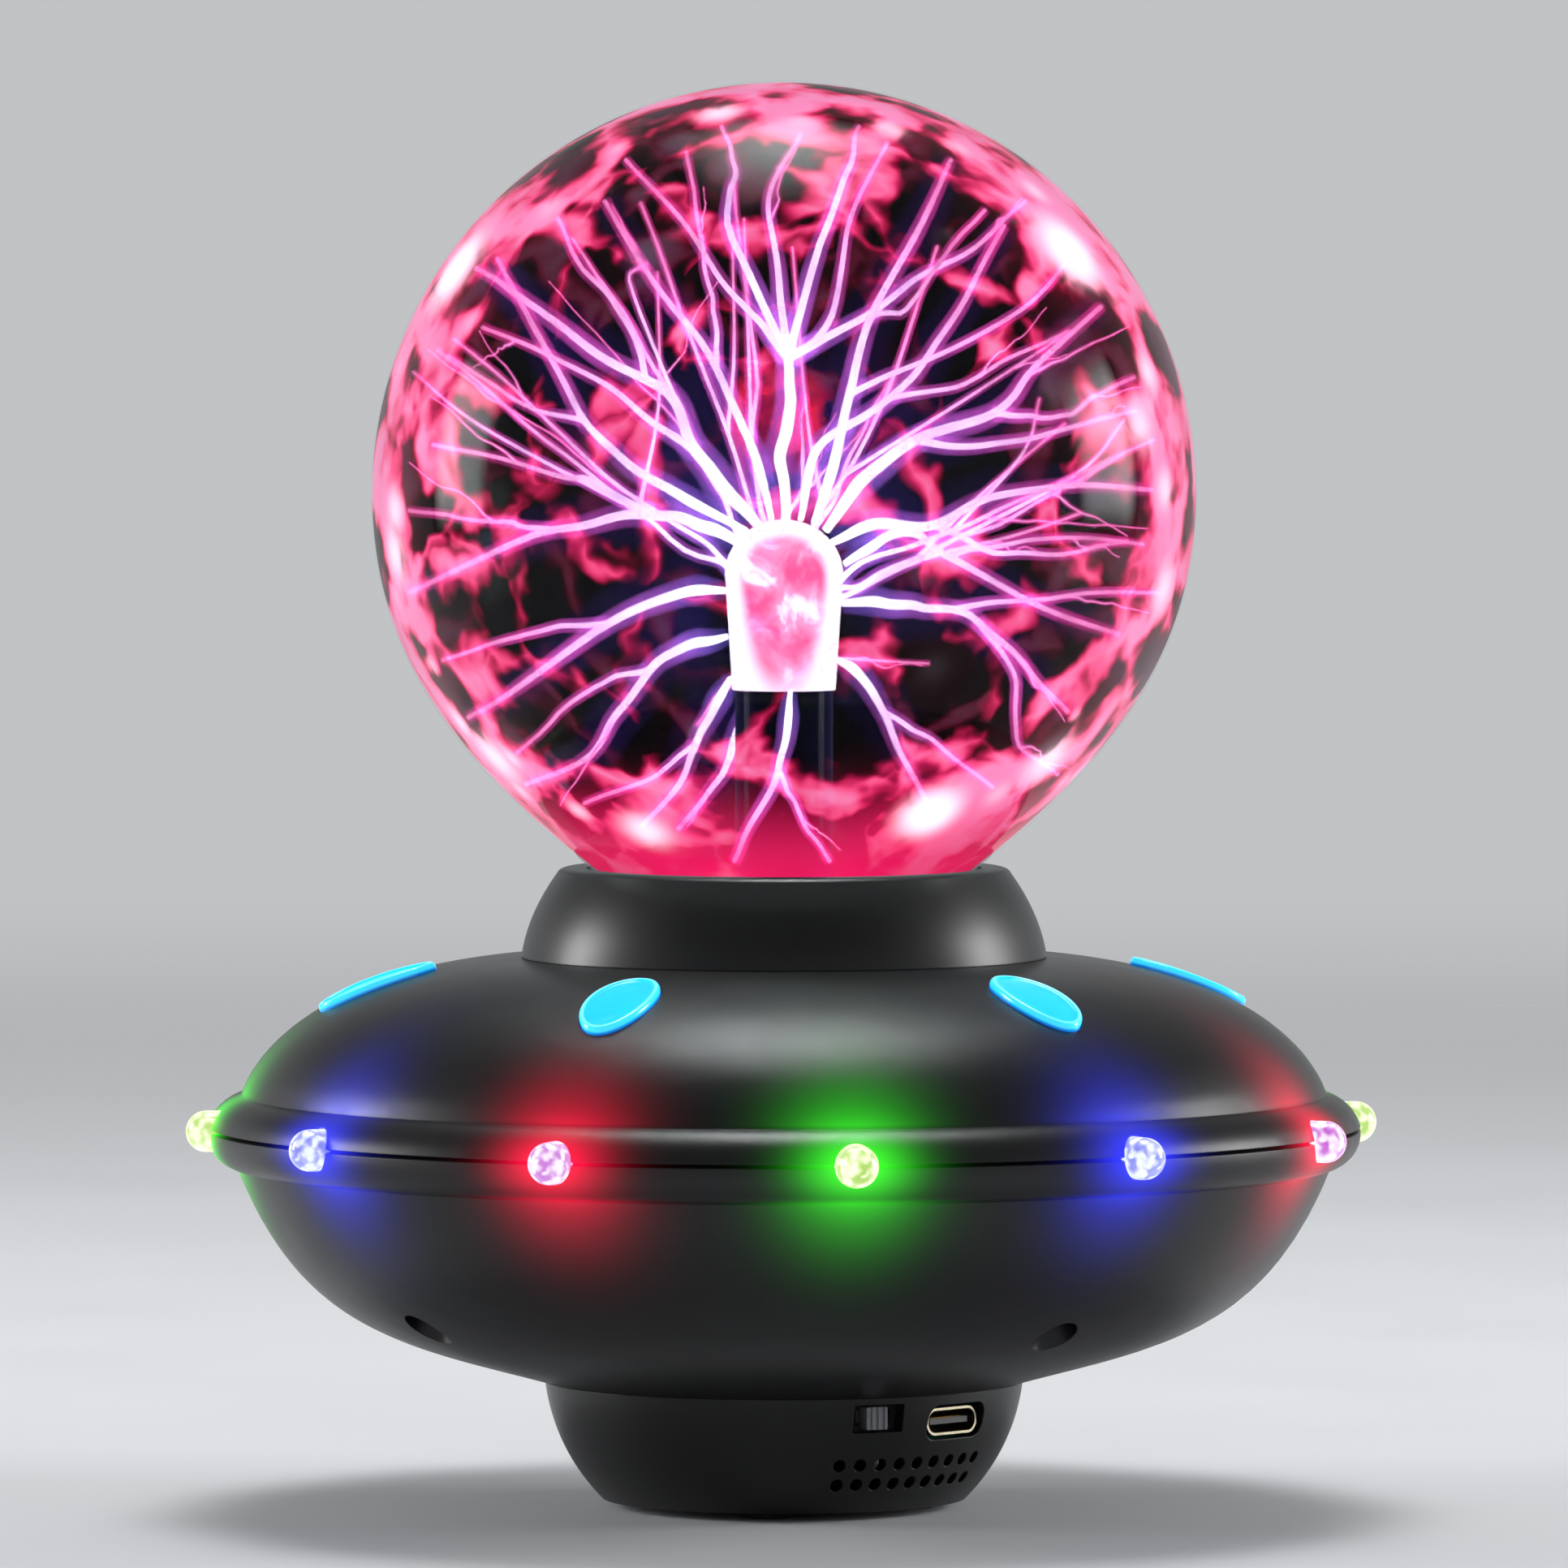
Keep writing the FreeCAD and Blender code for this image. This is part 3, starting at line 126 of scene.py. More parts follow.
def plain(name, dark, light, size, rough, depth, metallic=0.0):
    """A material whose colour, gloss and surface vary with one noise. size and depth are in mm."""
    made = material(name)
    tree = made.node_tree
    place = node(tree, "TexCoord", out="Object")
    noise = node(tree, "TexNoise", {"Vector": place, "Scale": 1 / (size * MM), "Detail": 4.0})
    colour = node(tree, "Mix", {0: noise, 6: dark, 7: light}, out=2, data_type="RGBA")
    gloss = node(tree, "MapRange", {"Value": noise, "From Min": 0.3, "From Max": 0.7,
                                    "To Min": rough * 0.85, "To Max": min(rough * 1.15, 1.0)})
    bump = node(tree, "Bump", {"Height": noise, "Distance": depth * MM})
    skin = node(tree, "BsdfPrincipled", {"Base Color": colour, "Roughness": gloss, "Normal": bump,
                                         "Metallic": metallic})
    node(tree, "OutputMaterial", {"Surface": skin})
    return made


# Rubber, punched sheet: dull black with a dusty bloom.
dress(plain("rubber_punched_sheet", RUBBER_BLACK, RUBBER_DUSTY, size=RUBBER_PORE, rough=0.85, depth=0.02),
      *[f"rubber_foot_{i}" for i in range(1, 5)])

# Self-tapping screws: cold-headed from steel wire and zinc plated.
# They hold the cover, the foot, the shells, the collar and the boards.

ZINC = "#b9bcc0"
ZINC_DULL = "#8e9196"
HEADING = 0.25                # mm, marks of the heading die

# Steel, zinc plated: pale blue-grey metal with fine marks.
dress(plain("steel_zinc_plated", ZINC_DULL, ZINC, size=HEADING, rough=0.32, depth=0.004, metallic=1.0),
      "cover_screws", "base_screws", "board_screws", "driver_board_screws", "shell_screws",
      "collar_screws")

# Circuit boards: glass-fibre laminate with green solder mask over etched copper tracks.
# The control board sits in the foot, the driver board in the bowl and the lamp board in the rim.

MASK_GREEN = "#0f4a2c"
MASK_OVER_COPPER = "#1c6b3f"
TRACK_PITCH = 2.54            # mm
TRACK_DEPTH = 0.03            # mm
TRACK_SHARE = 0.09            # width of a track against the brick pattern's unit

# Laminate, solder masked: green lacquer, lighter and slightly raised over the tracks.
laminate = material("laminate_solder_masked")
tree = laminate.node_tree
place = node(tree, "TexCoord", out="Object")
track = node(tree, "TexBrick", {"Vector": place, "Scale": 1 / (TRACK_PITCH * MM), "Mortar Size": TRACK_SHARE,
                                "Mortar Smooth": 0.2, "Brick Width": 2.0, "Row Height": 0.5,
                                "Color1": "#000000", "Color2": "#000000", "Mortar": "#ffffff"},
             offset=0.37)
colour = node(tree, "Mix", {0: track, 6: MASK_GREEN, 7: MASK_OVER_COPPER}, out=2, data_type="RGBA")
bump = node(tree, "Bump", {"Height": track, "Distance": TRACK_DEPTH * MM})
skin = node(tree, "BsdfPrincipled", {"Base Color": colour, "Roughness": 0.32, "Normal": bump})
node(tree, "OutputMaterial", {"Surface": skin})
dress(laminate, "control_board", "driver_board", "led_ring_board")

# Parts soldered to the control board: processor and small chips, moulded in epoxy, and the
# microphone in its drawn aluminium can, which listens through the vents.

EPOXY_BLACK = "#17171a"
EPOXY_GREY = "#222226"
EPOXY_FILLER = 0.15           # mm, silica filler in the moulding compound
CAN_GREY = "#9b9da0"
CAN_PALE = "#c4c6c9"

# Epoxy moulding compound: matt grey-black with a fine sparkle.
dress(plain("epoxy_moulding_compound", EPOXY_BLACK, EPOXY_GREY, size=EPOXY_FILLER, rough=0.55, depth=0.006),
      "control_parts", "driver_transistor")
# Aluminium, deep drawn: the microphone's can, pale and lightly scuffed.
dress(plain("aluminium_drawn_can", CAN_GREY, CAN_PALE, size=0.3, rough=0.3, depth=0.003, metallic=1.0),
      "microphone")

# USB-C socket: a drawn steel shell with a light gold flash, round a moulded tongue.
# The tongue carries twelve contact pads on each face.

FLASHED_STEEL = "#d9cfb4"
FLASHED_STEEL_DARK = "#b3a88a"
DRAW_MARKS = 0.4              # mm
TONGUE_BLACK = "#2b2b2d"
TONGUE_FIBRE = "#3d3d40"
PAD_BRONZE = "#b98f3c"
PAD_GOLD = "#d8b25a"
PADS = 12
PAD_PITCH = 0.5               # mm
PAD_WIDTH = 0.28
PAD_LENGTH = 3.4
PAD_HEIGHT = 0.06
PAD_SET_BACK = 0.7            # from the tongue's front edge
TONGUE_HALF = 0.35            # half its thickness
USB_ANGLE = math.radians(10.5)      # round the ball from its front to the socket

# Steel, drawn and gold flashed: warm bright rim round a dark mouth.
dress(plain("steel_gold_flashed", FLASHED_STEEL_DARK, FLASHED_STEEL, size=DRAW_MARKS, rough=0.2,
            depth=0.002, metallic=1.0), "usb_shell")
# Liquid crystal polymer, moulded: dark grey, slightly fibrous.
dress(plain("polymer_fibre_filled", TONGUE_BLACK, TONGUE_FIBRE, size=0.5, rough=0.45, depth=0.004),
      "usb_tongue")


def shown(name, mesh, finish):
    """Puts a mesh into the scene as one piece in its finish."""
    made = bpy.data.objects.new(name, mesh)
    bpy.context.scene.collection.objects.link(made)
    mesh.materials.clear()
    mesh.materials.append(finish)
    return made


def boxes(name, parts):
    """One mesh of separate closed bars. Each part is (low corner, high corner) in mm."""
    corners, faces = [], []
    for low, high in parts:
        first = len(corners)
        corners += [(x * MM, y * MM, z * MM) for x in (low[0], high[0]) for y in (low[1], high[1])
                    for z in (low[2], high[2])]
        faces += [[first + i for i in face] for face in
                  ((0, 1, 3, 2), (4, 6, 7, 5), (0, 4, 5, 1), (2, 3, 7, 6), (0, 2, 6, 4), (1, 5, 7, 3))]
    mesh = bpy.data.meshes.new(name)
    mesh.from_pydata(corners, [], faces)
    return mesh


tongue_low, tongue_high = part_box("usb_tongue")
tongue_middle = (tongue_low.z + tongue_high.z) / 2 / MM
outward = Vector((math.sin(USB_ANGLE), -math.cos(USB_ANGLE), 0))
tongue_front = max(v.co.dot(outward) for v in nodes["usb_tongue"].data.vertices) / MM
pad_start = PAD_SET_BACK - tongue_front
bars = []
for side in (-1, 1):
    face = tongue_middle + side * TONGUE_HALF
    for i in range(PADS):
        across = (i - (PADS - 1) / 2) * PAD_PITCH
        bars.append(((across - PAD_WIDTH / 2, pad_start, face - PAD_HEIGHT / 2),
                     (across + PAD_WIDTH / 2, pad_start + PAD_LENGTH, face + PAD_HEIGHT / 2)))
# Phosphor bronze, gold plated: small warm bright bars.
pad_plate = plain("bronze_gold_plated", PAD_BRONZE, PAD_GOLD, size=0.3, rough=0.22, depth=0.002,
                  metallic=1.0)
pads = shown("usb_contacts", boxes("usb_contacts", bars), pad_plate)
pads.matrix_world = Matrix.Rotation(USB_ANGLE, 4, "Z")
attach(pads, "root")

# Slide switch: a stamped steel case, soldered to the control board behind the wall, and a ribbed
# acetal knob that slides in the wall's slot.

KNOB_GREY = "#8f9094"
KNOB_DARK = "#68696d"
KNOB_GRAIN = 0.35             # mm
CASE_BLACK = "#0b0b0c"
CASE_WORN = "#161617"

# Acetal, moulded: mid grey, smooth, with a soft gloss on its three ribs.
dress(plain("acetal_moulded", KNOB_DARK, KNOB_GREY, size=KNOB_GRAIN, rough=0.4, depth=0.003), "switch_knob")
# Steel, stamped and blackened: dark, dull, with rolling marks.
dress(plain("steel_blackened", CASE_BLACK, CASE_WORN, size=0.5, rough=0.6, depth=0.003), "switch_case")

# Driver board's large parts: ferrite transformer, three capacitors, transistor on its heat sink.
# They make the high voltage for the globe, and stand out of sight in the bowl.

FERRITE_DARK, FERRITE = "#1d1d20", "#2a2a2d"
TAPE_DEEP, TAPE = "#b98212", "#d9a520"
SLEEVE_DARK, SLEEVE_BLUE = "#14224f", "#1b2f6e"
FINS_DULL, FINS = "#a9abae", "#c9cbce"

# Ferrite, sintered: dull dark grey with fine pits.
dress(plain("ferrite_sintered", FERRITE_DARK, FERRITE, size=0.4, rough=0.7, depth=0.02), "transformer_core")
# Polyester tape, wound: glossy amber over copper.
dress(plain("polyester_tape_wound", TAPE_DEEP, TAPE, size=1.2, rough=0.25, depth=0.02), "transformer_coil")
# Shrink sleeve: dark blue, glossy.
dress(plain("vinyl_shrink_sleeve", SLEEVE_DARK, SLEEVE_BLUE, size=2.0, rough=0.28, depth=0.01), "capacitors")
# Aluminium, extruded and raw: pale metal with faint die lines.
dress(plain("aluminium_extruded", FINS_DULL, FINS, size=0.6, rough=0.35, depth=0.006, metallic=1.0),
      "heat_sink")

# Leads: stranded copper in extruded jackets, silicone for the high voltage and vinyl for the rest.
# They run between the boards, and one goes up to the boot under the electrode.

SILICONE, SILICONE_PALE = "#c9c4bd", "#e2ded8"
VINYL_DARK, VINYL_RED = "#6d1414", "#8c1c1c"

# Silicone, extruded: smooth white-grey jacket for the high voltage.
dress(plain("silicone_extruded", SILICONE, SILICONE_PALE, size=1.5, rough=0.45, depth=0.01), "hv_lead")
# Vinyl, extruded: red-brown jacket, softly glossy.
dress(plain("vinyl_extruded", VINYL_DARK, VINYL_RED, size=1.0, rough=0.4, depth=0.008),
      "led_harness", "supply_leads")

# Shells: the bowl and the dome of the saucer, two ABS mouldings that meet in the rim's nose.
# Twelve lamps stand in the nose, and their light is painted on the plastic round them in soft glowing
# patches.

LAMP_COLOURS = ("blue", "red", "green")
LAMP_STEP = math.radians(30.0)
GLOW = {"blue": "#3038ff", "red": "#ff1440", "green": "#38f028"}
NOSE_HALF = 4.3               # mm from the rim's plane to the creases where the nose ends
# Reach and strength of the lamp light painted on the shells:
NEAR_WIDE, NEAR_HIGH = 5.6, 3.6     # mm, reach of the light on the nose
FAR_WIDE, FAR_HIGH = 7.4, 8.2       # mm, reach of the light on dome and bowl
NEAR_GLOW = 1.35
FAR_GLOW = 0.62
CREASE_GLOW = 0.05            # strength of the far light on the nose and in its creases
CREASE = (-0.5, 0.4)          # mm from the crease, where the far light begins and is full

lamp_low, lamp_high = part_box("led_blue_1")
RIM_Z = (lamp_low.z + lamp_high.z) / 2
lamp_tip = -lamp_low.y
lamp_base = -lamp_high.y

# Satin ABS round the lamps: the same skin, with blue, red and green lamp light painted into it as emission
# beside each lamp.
painted_glow_abs = material("abs_moulded_satin_painted_glow")
tree = painted_glow_abs.node_tree
place = node(tree, "TexCoord", out="Object")
x, y, z = node(tree, "SeparateXYZ", {0: place}, out=slice(3))
back = node(tree, "Math", {0: y, 1: -1.0}, operation="MULTIPLY")
turn = node(tree, "Math", {0: x, 1: back}, operation="ARCTAN2")
count = node(tree, "Math", {0: turn, 1: LAMP_STEP}, operation="DIVIDE")
nearest = node(tree, "Math", {0: count}, operation="ROUND")
off = node(tree, "Math", {0: count, 1: nearest}, operation="SUBTRACT")
flat = node(tree, "CombineXYZ", {"X": x, "Y": y})
radius = node(tree, "VectorMath", {0: flat}, out="Value", operation="LENGTH")
off_turn = node(tree, "Math", {0: off, 1: LAMP_STEP}, operation="MULTIPLY")
aside = node(tree, "Math", {0: off_turn, 1: radius}, operation="MULTIPLY")
above = node(tree, "Math", {0: z, 1: RIM_Z}, operation="SUBTRACT")
height = node(tree, "Math", {0: above}, operation="ABSOLUTE")


def falloff(wide, high):
    """Light that fades smoothly with the distance beside and above a lamp."""
    across = node(tree, "Math", {0: aside, 1: wide * MM}, operation="DIVIDE")
    along = node(tree, "Math", {0: above, 1: high * MM}, operation="DIVIDE")
    across_2 = node(tree, "Math", {0: across, 1: across}, operation="MULTIPLY")
    both = node(tree, "Math", {0: along, 1: along, 2: across_2}, operation="MULTIPLY_ADD")
    fade = node(tree, "Math", {0: both, 1: -1.0}, operation="MULTIPLY")
    return node(tree, "Math", {0: fade}, operation="EXPONENT")


near = falloff(NEAR_WIDE, NEAR_HIGH)
far = falloff(FAR_WIDE, FAR_HIGH)
past_nose = node(tree, "MapRange", {"Value": height, "From Min": (NOSE_HALF + CREASE[0]) * MM,
                                    "From Max": (NOSE_HALF + CREASE[1]) * MM, "To Min": CREASE_GLOW,
                                    "To Max": FAR_GLOW}, interpolation_type="SMOOTHSTEP")
spread = node(tree, "Math", {0: far, 1: past_nose}, operation="MULTIPLY")
glow = node(tree, "Math", {0: near, 1: NEAR_GLOW, 2: spread}, operation="MULTIPLY_ADD")
order = node(tree, "Math", {0: nearest, 1: float(len(LAMP_COLOURS))}, operation="FLOORED_MODULO")
is_red = node(tree, "Math", {0: order, 1: 1.0, 2: 0.1}, operation="COMPARE")
is_green = node(tree, "Math", {0: order, 1: 2.0, 2: 0.1}, operation="COMPARE")
tint = node(tree, "Mix", {0: is_red, 6: GLOW["blue"], 7: GLOW["red"]}, out=2, data_type="RGBA")
tint = node(tree, "Mix", {0: is_green, 6: tint, 7: GLOW["green"]}, out=2, data_type="RGBA")
skin = abs_skin(tree, {"Emission Color": tint, "Emission Strength": glow})
node(tree, "OutputMaterial", {"Surface": skin})
dress(painted_glow_abs, "lower_shell", "upper_shell")

# Window lamps: six surface-mounted lamps, each a moulded white package with a drop of phosphor.
# They are soldered to the inner edge of the lamp board, one under each window.

PACKAGE_WHITE, PHOSPHOR = "#e8e6da", "#f4f1c8"

# Polyphthalamide, moulded: white package with a yellow phosphor tinge.
dress(plain("package_white_phosphor", PACKAGE_WHITE, PHOSPHOR, size=0.8, rough=0.4, depth=0.01),
      "window_leds")

# Rim lamps: twelve 5 mm LEDs, cast in water-clear epoxy round a steel cup that holds the die.
# The lens glows from inside, and its glints are painted on as bright blots and rings over its own colour.

LENS_R = 2.5                  # mm, as all sizes of the lamp
FLANGE_R = 2.9
FLANGE_T = 1.0
FLANGE_ROUND = 0.1
LENS_FILLET = 0.15
CUP_DEPTH = 0.9
CUP_R = 0.95
CUP_RIM = 0.1                 # width of its edge
CUP_BASE = 0.3                # thickness of its floor
CUP_FLOOR_R = 0.45
CUP_BACK = 2.4                # the cup's mouth lies this far behind the centre of the lens
POST_W = 0.5
POST_GAP = 1.27               # each post stands this far from the lamp's axis
POST_FOOT = 0.1               # where it begins, above the lamp's base
POST_STEP = 0.25              # one ends this far above the cup's floor, the other as far below
DIE = 0.35
# The bright blots are painted glints.
BLOT = 1.25                   # size of the bright blots in the lens
BLOT_BEND = 0.0012            # metres that the blots are pulled out of round
LENS_BODY = "#4c4c50"
CUP_GREY, CUP_PALE = "#c8c9cc", "#e9eaec"
LENS_TINT = {"blue": "#6468ff", "red": "#dc5cf0", "green": "#c4f85c"}
LENS_CORE = {"blue": "#eaf2ff", "red": "#fff4ff", "green": "#fdffdc"}
LAMPS_OF_A_COLOUR = 4
RING = 48                     # points round a turned piece
CUP_ROUND = 24


def spun(name, profile, count=RING):
    """A closed mesh spun round Z from (radius, height) points in mm, first and last on the axis."""
    points, faces = [], []
    rings = []
    for r, h in profile:
        if r == 0:
            rings.append([len(points)])
            points.append((0, 0, h * MM))
            continue
        rings.append(list(range(len(points), len(points) + count)))
        points += [(r * MM * math.cos(2 * math.pi * i / count), r * MM * math.sin(2 * math.pi * i / count),
                    h * MM) for i in range(count)]
    for low, high in zip(rings, rings[1:]):
        for i in range(count):
            j = (i + 1) % count
            corners = [low[i % len(low)], low[j % len(low)], high[j % len(high)], high[i % len(high)]]
            faces.append(list(dict.fromkeys(corners)))
    mesh = bpy.data.meshes.new(name)
    mesh.from_pydata(points, [], faces)
    mesh.shade_smooth()
    return mesh


def arc(r, centre, start, end, steps):
    """Points of an arc about a centre on the axis, in degrees from the axis's direction."""
    turns = [math.radians(start + (end - start) * i / steps) for i in range(steps + 1)]
    return [(r * math.sin(t) if t else 0, centre + r * math.cos(t)) for t in turns]


reach = (lamp_tip - lamp_base) / MM - LENS_R       # from the lamp's base to the centre of its round end
lens_profile = [(0, 0), (FLANGE_R - FLANGE_ROUND, 0), (FLANGE_R, FLANGE_ROUND),
                (FLANGE_R, FLANGE_T - FLANGE_ROUND), (FLANGE_R - FLANGE_ROUND, FLANGE_T),
                (LENS_R + LENS_FILLET, FLANGE_T), (LENS_R, FLANGE_T + LENS_FILLET)]
lens_profile += arc(LENS_R, reach, 90, 0, 16)
cup_top = reach - CUP_BACK
cup_floor = cup_top - CUP_DEPTH
cup_profile = [(0, cup_floor - CUP_BASE), (CUP_R, cup_floor - CUP_BASE), (CUP_R + CUP_RIM, cup_top),
               (CUP_R, cup_top), (CUP_FLOOR_R, cup_floor), (0, cup_floor)]
post_bars = [((side * POST_GAP - POST_W / 2, -POST_W / 2, POST_FOOT),
              (side * POST_GAP + POST_W / 2, POST_W / 2, cup_floor + POST_STEP * side)) for side in (-1, 1)]
die_block = [((-DIE / 2, -DIE / 2, cup_floor), (DIE / 2, DIE / 2, cup_floor + DIE))]

# Steel, silvered: the cup and posts seen through the lens.
cup_metal = plain("steel_silvered", CUP_GREY, CUP_PALE, size=0.3, rough=0.25, depth=0.002, metallic=1.0)


def join(target, others):
    """Joins meshes into one object, each with its own material slot."""
    with bpy.context.temp_override(active_object=target, selected_editable_objects=[target] + others,
                                   selected_objects=[target] + others):
        bpy.ops.object.join()
    return target


for colour_name in LAMP_COLOURS:
    # Epoxy, cast water-clear and lit from its die: painted glints, white blots and a white edge ring, over
    # the lamp's colour, under a gloss.
    lens = material(f"epoxy_cast_clear_{colour_name}")
    tree = lens.node_tree
    place = node(tree, "TexCoord", out="Object")
    wobble = node(tree, "TexNoise", {"Vector": place, "Scale": 1 / (BLOT * MM), "Detail": 1.0}, out=1)
    bent = node(tree, "MixRGB", {0: BLOT_BEND, 1: place, 2: wobble}, blend_type="ADD")
    cells = node(tree, "TexVoronoi", {"Vector": bent, "Scale": 1 / (BLOT * MM)}, feature="SMOOTH_F1")
    painted_glints = node(tree, "MapRange", {"Value": cells, "From Min": 0.28, "From Max": 0.62,
                                    "To Min": 1.0, "To Max": 0.0}, interpolation_type="SMOOTHSTEP")
    # Painted glint: a bright ring along the lens's edge.
    edge = node(tree, "LayerWeight", {"Blend": 0.25}, out="Facing")
    bright = node(tree, "Math", {0: painted_glints, 1: edge}, operation="MAXIMUM")
    inside = node(tree, "Mix", {0: bright, 6: LENS_TINT[colour_name], 7: LENS_CORE[colour_name]},
                  out=2, data_type="RGBA")
    power = node(tree, "MapRange", {"Value": bright, "To Min": 0.62, "To Max": 0.95})
    skin = node(tree, "BsdfPrincipled", {"Base Color": LENS_BODY, "Roughness": 0.04, "IOR": 1.54,
                                         "Transmission Weight": 0.6, "Emission Color": inside,
                                         "Emission Strength": power})
    node(tree, "OutputMaterial", {"Surface": skin})
    # Semiconductor die: a tiny block of pure light in the lamp's colour.
    die_light = material(f"die_lit_{colour_name}")
    tree = die_light.node_tree
    place = node(tree, "TexCoord", out="Object")
    facets = node(tree, "TexNoise", {"Vector": place, "Scale": 1 / (DIE * MM)})
    power = node(tree, "MapRange", {"Value": facets, "To Min": 1.0, "To Max": 2.5})
    skin = node(tree, "BsdfPrincipled", {"Base Color": GLOW[colour_name], "Roughness": 0.3,
                                         "Emission Color": LENS_CORE[colour_name],
                                         "Emission Strength": power})
    node(tree, "OutputMaterial", {"Surface": skin})
    for number in range(1, LAMPS_OF_A_COLOUR + 1):
        angle = LAMP_STEP * (len(LAMP_COLOURS) * (number - 1) + LAMP_COLOURS.index(colour_name))
        name = f"rim_lamp_{colour_name}_{number}"
        body = shown(name, spun(name, lens_profile), lens)
        cup = shown(name + "_cup", spun(name + "_cup", cup_profile, CUP_ROUND), cup_metal)
        posts = shown(name + "_posts", boxes(name + "_posts", post_bars), cup_metal)
        die = shown(name + "_die", boxes(name + "_die", die_block), die_light)
        body = join(body, [cup, posts, die])
        outwards = Vector((math.sin(angle), -math.cos(angle), 0))
        body.matrix_world = (Matrix.Translation(outwards * lamp_base + Vector((0, 0, RIM_Z)))
                             @ outwards.to_track_quat("Z", "Y").to_matrix().to_4x4())
        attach(body, "root")
        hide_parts(f"led_{colour_name}_{number}")

# Lead-outs of the rim lamps: square legs, stamped from steel and dipped in hot tin.
# They are soldered over the edge of the lamp board.

TIN_DULL, TIN = "#8d9094", "#b9bbbf"

# Steel, tin dipped: soft grey metal with runs of solder.
dress(plain("steel_tin_dipped", TIN_DULL, TIN, size=0.5, rough=0.4, depth=0.01, metallic=1.0), "led_leads")

# Dome windows: six oval plugs, moulded in acrylic, pressed into the dome over their lamps.
# Each stands 1 mm proud, with a rounded rim round a shallow dish, and glows cyan from below.

WINDOW_LONG, WINDOW_WIDE = 15.0, 8.4        # mm
WINDOWS = 6
WINDOW_ROUND = 96             # points round a window
WINDOW_R = 49.46                            # mm from the axis, where each stands square to the dome
DOME_FLAT_R = 30.0
DOME_A, DOME_H = 36.4, 20.6                 # mm, half axes of the dome's ellipse
CYAN = "#25c8fb"
CYAN_DEEP = "#08b0f6"
CYAN_WALL = "#3fd8ff"
CYAN_RIM = "#8ef2ff"
# Painted shade where the window meets the dome:
CYAN_FOOT_SHADE = "#0a48b0"
ACRYLIC_FLOW = 5.0            # mm, faint unevenness of the light
SLIDE = 6.0                   # mm either way in which a point finds the dome
HALVINGS = 40
WINDOW_PROFILE = ((0.0, -1.1), (0.0, 0.0), (0.0, 0.5), (0.03, 0.68), (0.11, 0.84), (0.24, 0.95),
                  (0.4, 1.0), (0.54, 0.97), (0.66, 0.88), (0.8, 0.78), (0.98, 0.72), (1.3, 0.70),
                  (2.2, 0.72), (3.2, 0.74), (3.9, 0.745))     # (in from the outline, above the dome)

window_turn = math.acos((WINDOW_R - DOME_FLAT_R) / DOME_A)
window_at = Vector((0, -WINDOW_R * MM, RIM_Z + DOME_H * MM * math.sin(window_turn)))
tilt = math.atan2(math.cos(window_turn) / DOME_A, math.sin(window_turn) / DOME_H)
window_normal = Vector((0, -math.sin(tilt), math.cos(tilt)))
window_up = Vector((0, math.cos(tilt), math.sin(tilt)))


def onto_dome(point, proud):
    """Slides a point along the window's normal until it stands proud of the dome by that much, in mm."""
    a, b = (DOME_A + proud) * MM, (DOME_H + proud) * MM
    low, high = -SLIDE * MM, SLIDE * MM
    for _ in range(HALVINGS):
        middle = (low + high) / 2
        q = point + window_normal * middle
        out = math.hypot(q.x, q.y) - DOME_FLAT_R * MM
        if (out / a) ** 2 + ((q.z - RIM_Z) / b) ** 2 < 1:
            low = middle
        else:
            high = middle
    return point + window_normal * low


def mark(mesh, key, values):
    """Gives each point of a mesh a value for its material to read."""
    made = mesh.attributes.new(key, "FLOAT", "POINT")
    made.data.foreach_set("value", values)


points, faces, insets, prouds = [], [], [], []
for inset, proud in WINDOW_PROFILE:
    for i in range(WINDOW_ROUND):
        t = 2 * math.pi * i / WINDOW_ROUND
        along = (WINDOW_LONG / 2 - inset) * MM * math.cos(t)
        aside = (WINDOW_WIDE / 2 - inset) * MM * math.sin(t)
        points.append(onto_dome(window_at + window_up * along + Vector((aside, 0, 0)), proud))
        insets.append(inset)
        prouds.append(proud)
last = (len(WINDOW_PROFILE) - 1) * WINDOW_ROUND
for low in range(0, last, WINDOW_ROUND):
    for i in range(WINDOW_ROUND):
        j = (i + 1) % WINDOW_ROUND
        faces.append((low + i, low + WINDOW_ROUND + i, low + WINDOW_ROUND + j, low + j))
faces.append(list(range(WINDOW_ROUND)))
faces.append([last + i for i in reversed(range(WINDOW_ROUND))])

# Acrylic, moulded and lit from below: its glow is painted as emission, even cyan in the dish, painted
# brighter on the outer wall and along the rim's crest, with a deep blue painted shade at its foot where it
# meets the dome.
acrylic = material("acrylic_moulded_lit")
tree = acrylic.node_tree
inset = node(tree, "Attribute", out="Fac", attribute_name="inset")
proud = node(tree, "Attribute", out="Fac", attribute_name="proud")
place = node(tree, "TexCoord", out="Object")
flow = node(tree, "TexNoise", {"Vector": place, "Scale": 1 / (ACRYLIC_FLOW * MM), "Detail": 2.0})
body = node(tree, "Mix", {0: flow, 6: CYAN_DEEP, 7: CYAN}, out=2, data_type="RGBA")
# Painted light: the outer wall and the rim glow lighter than the dish.
wall = node(tree, "MapRange", {"Value": inset, "From Min": 0.75, "From Max": 0.6},
            interpolation_type="SMOOTHSTEP")
body = node(tree, "Mix", {0: wall, 6: body, 7: CYAN_WALL}, out=2, data_type="RGBA")
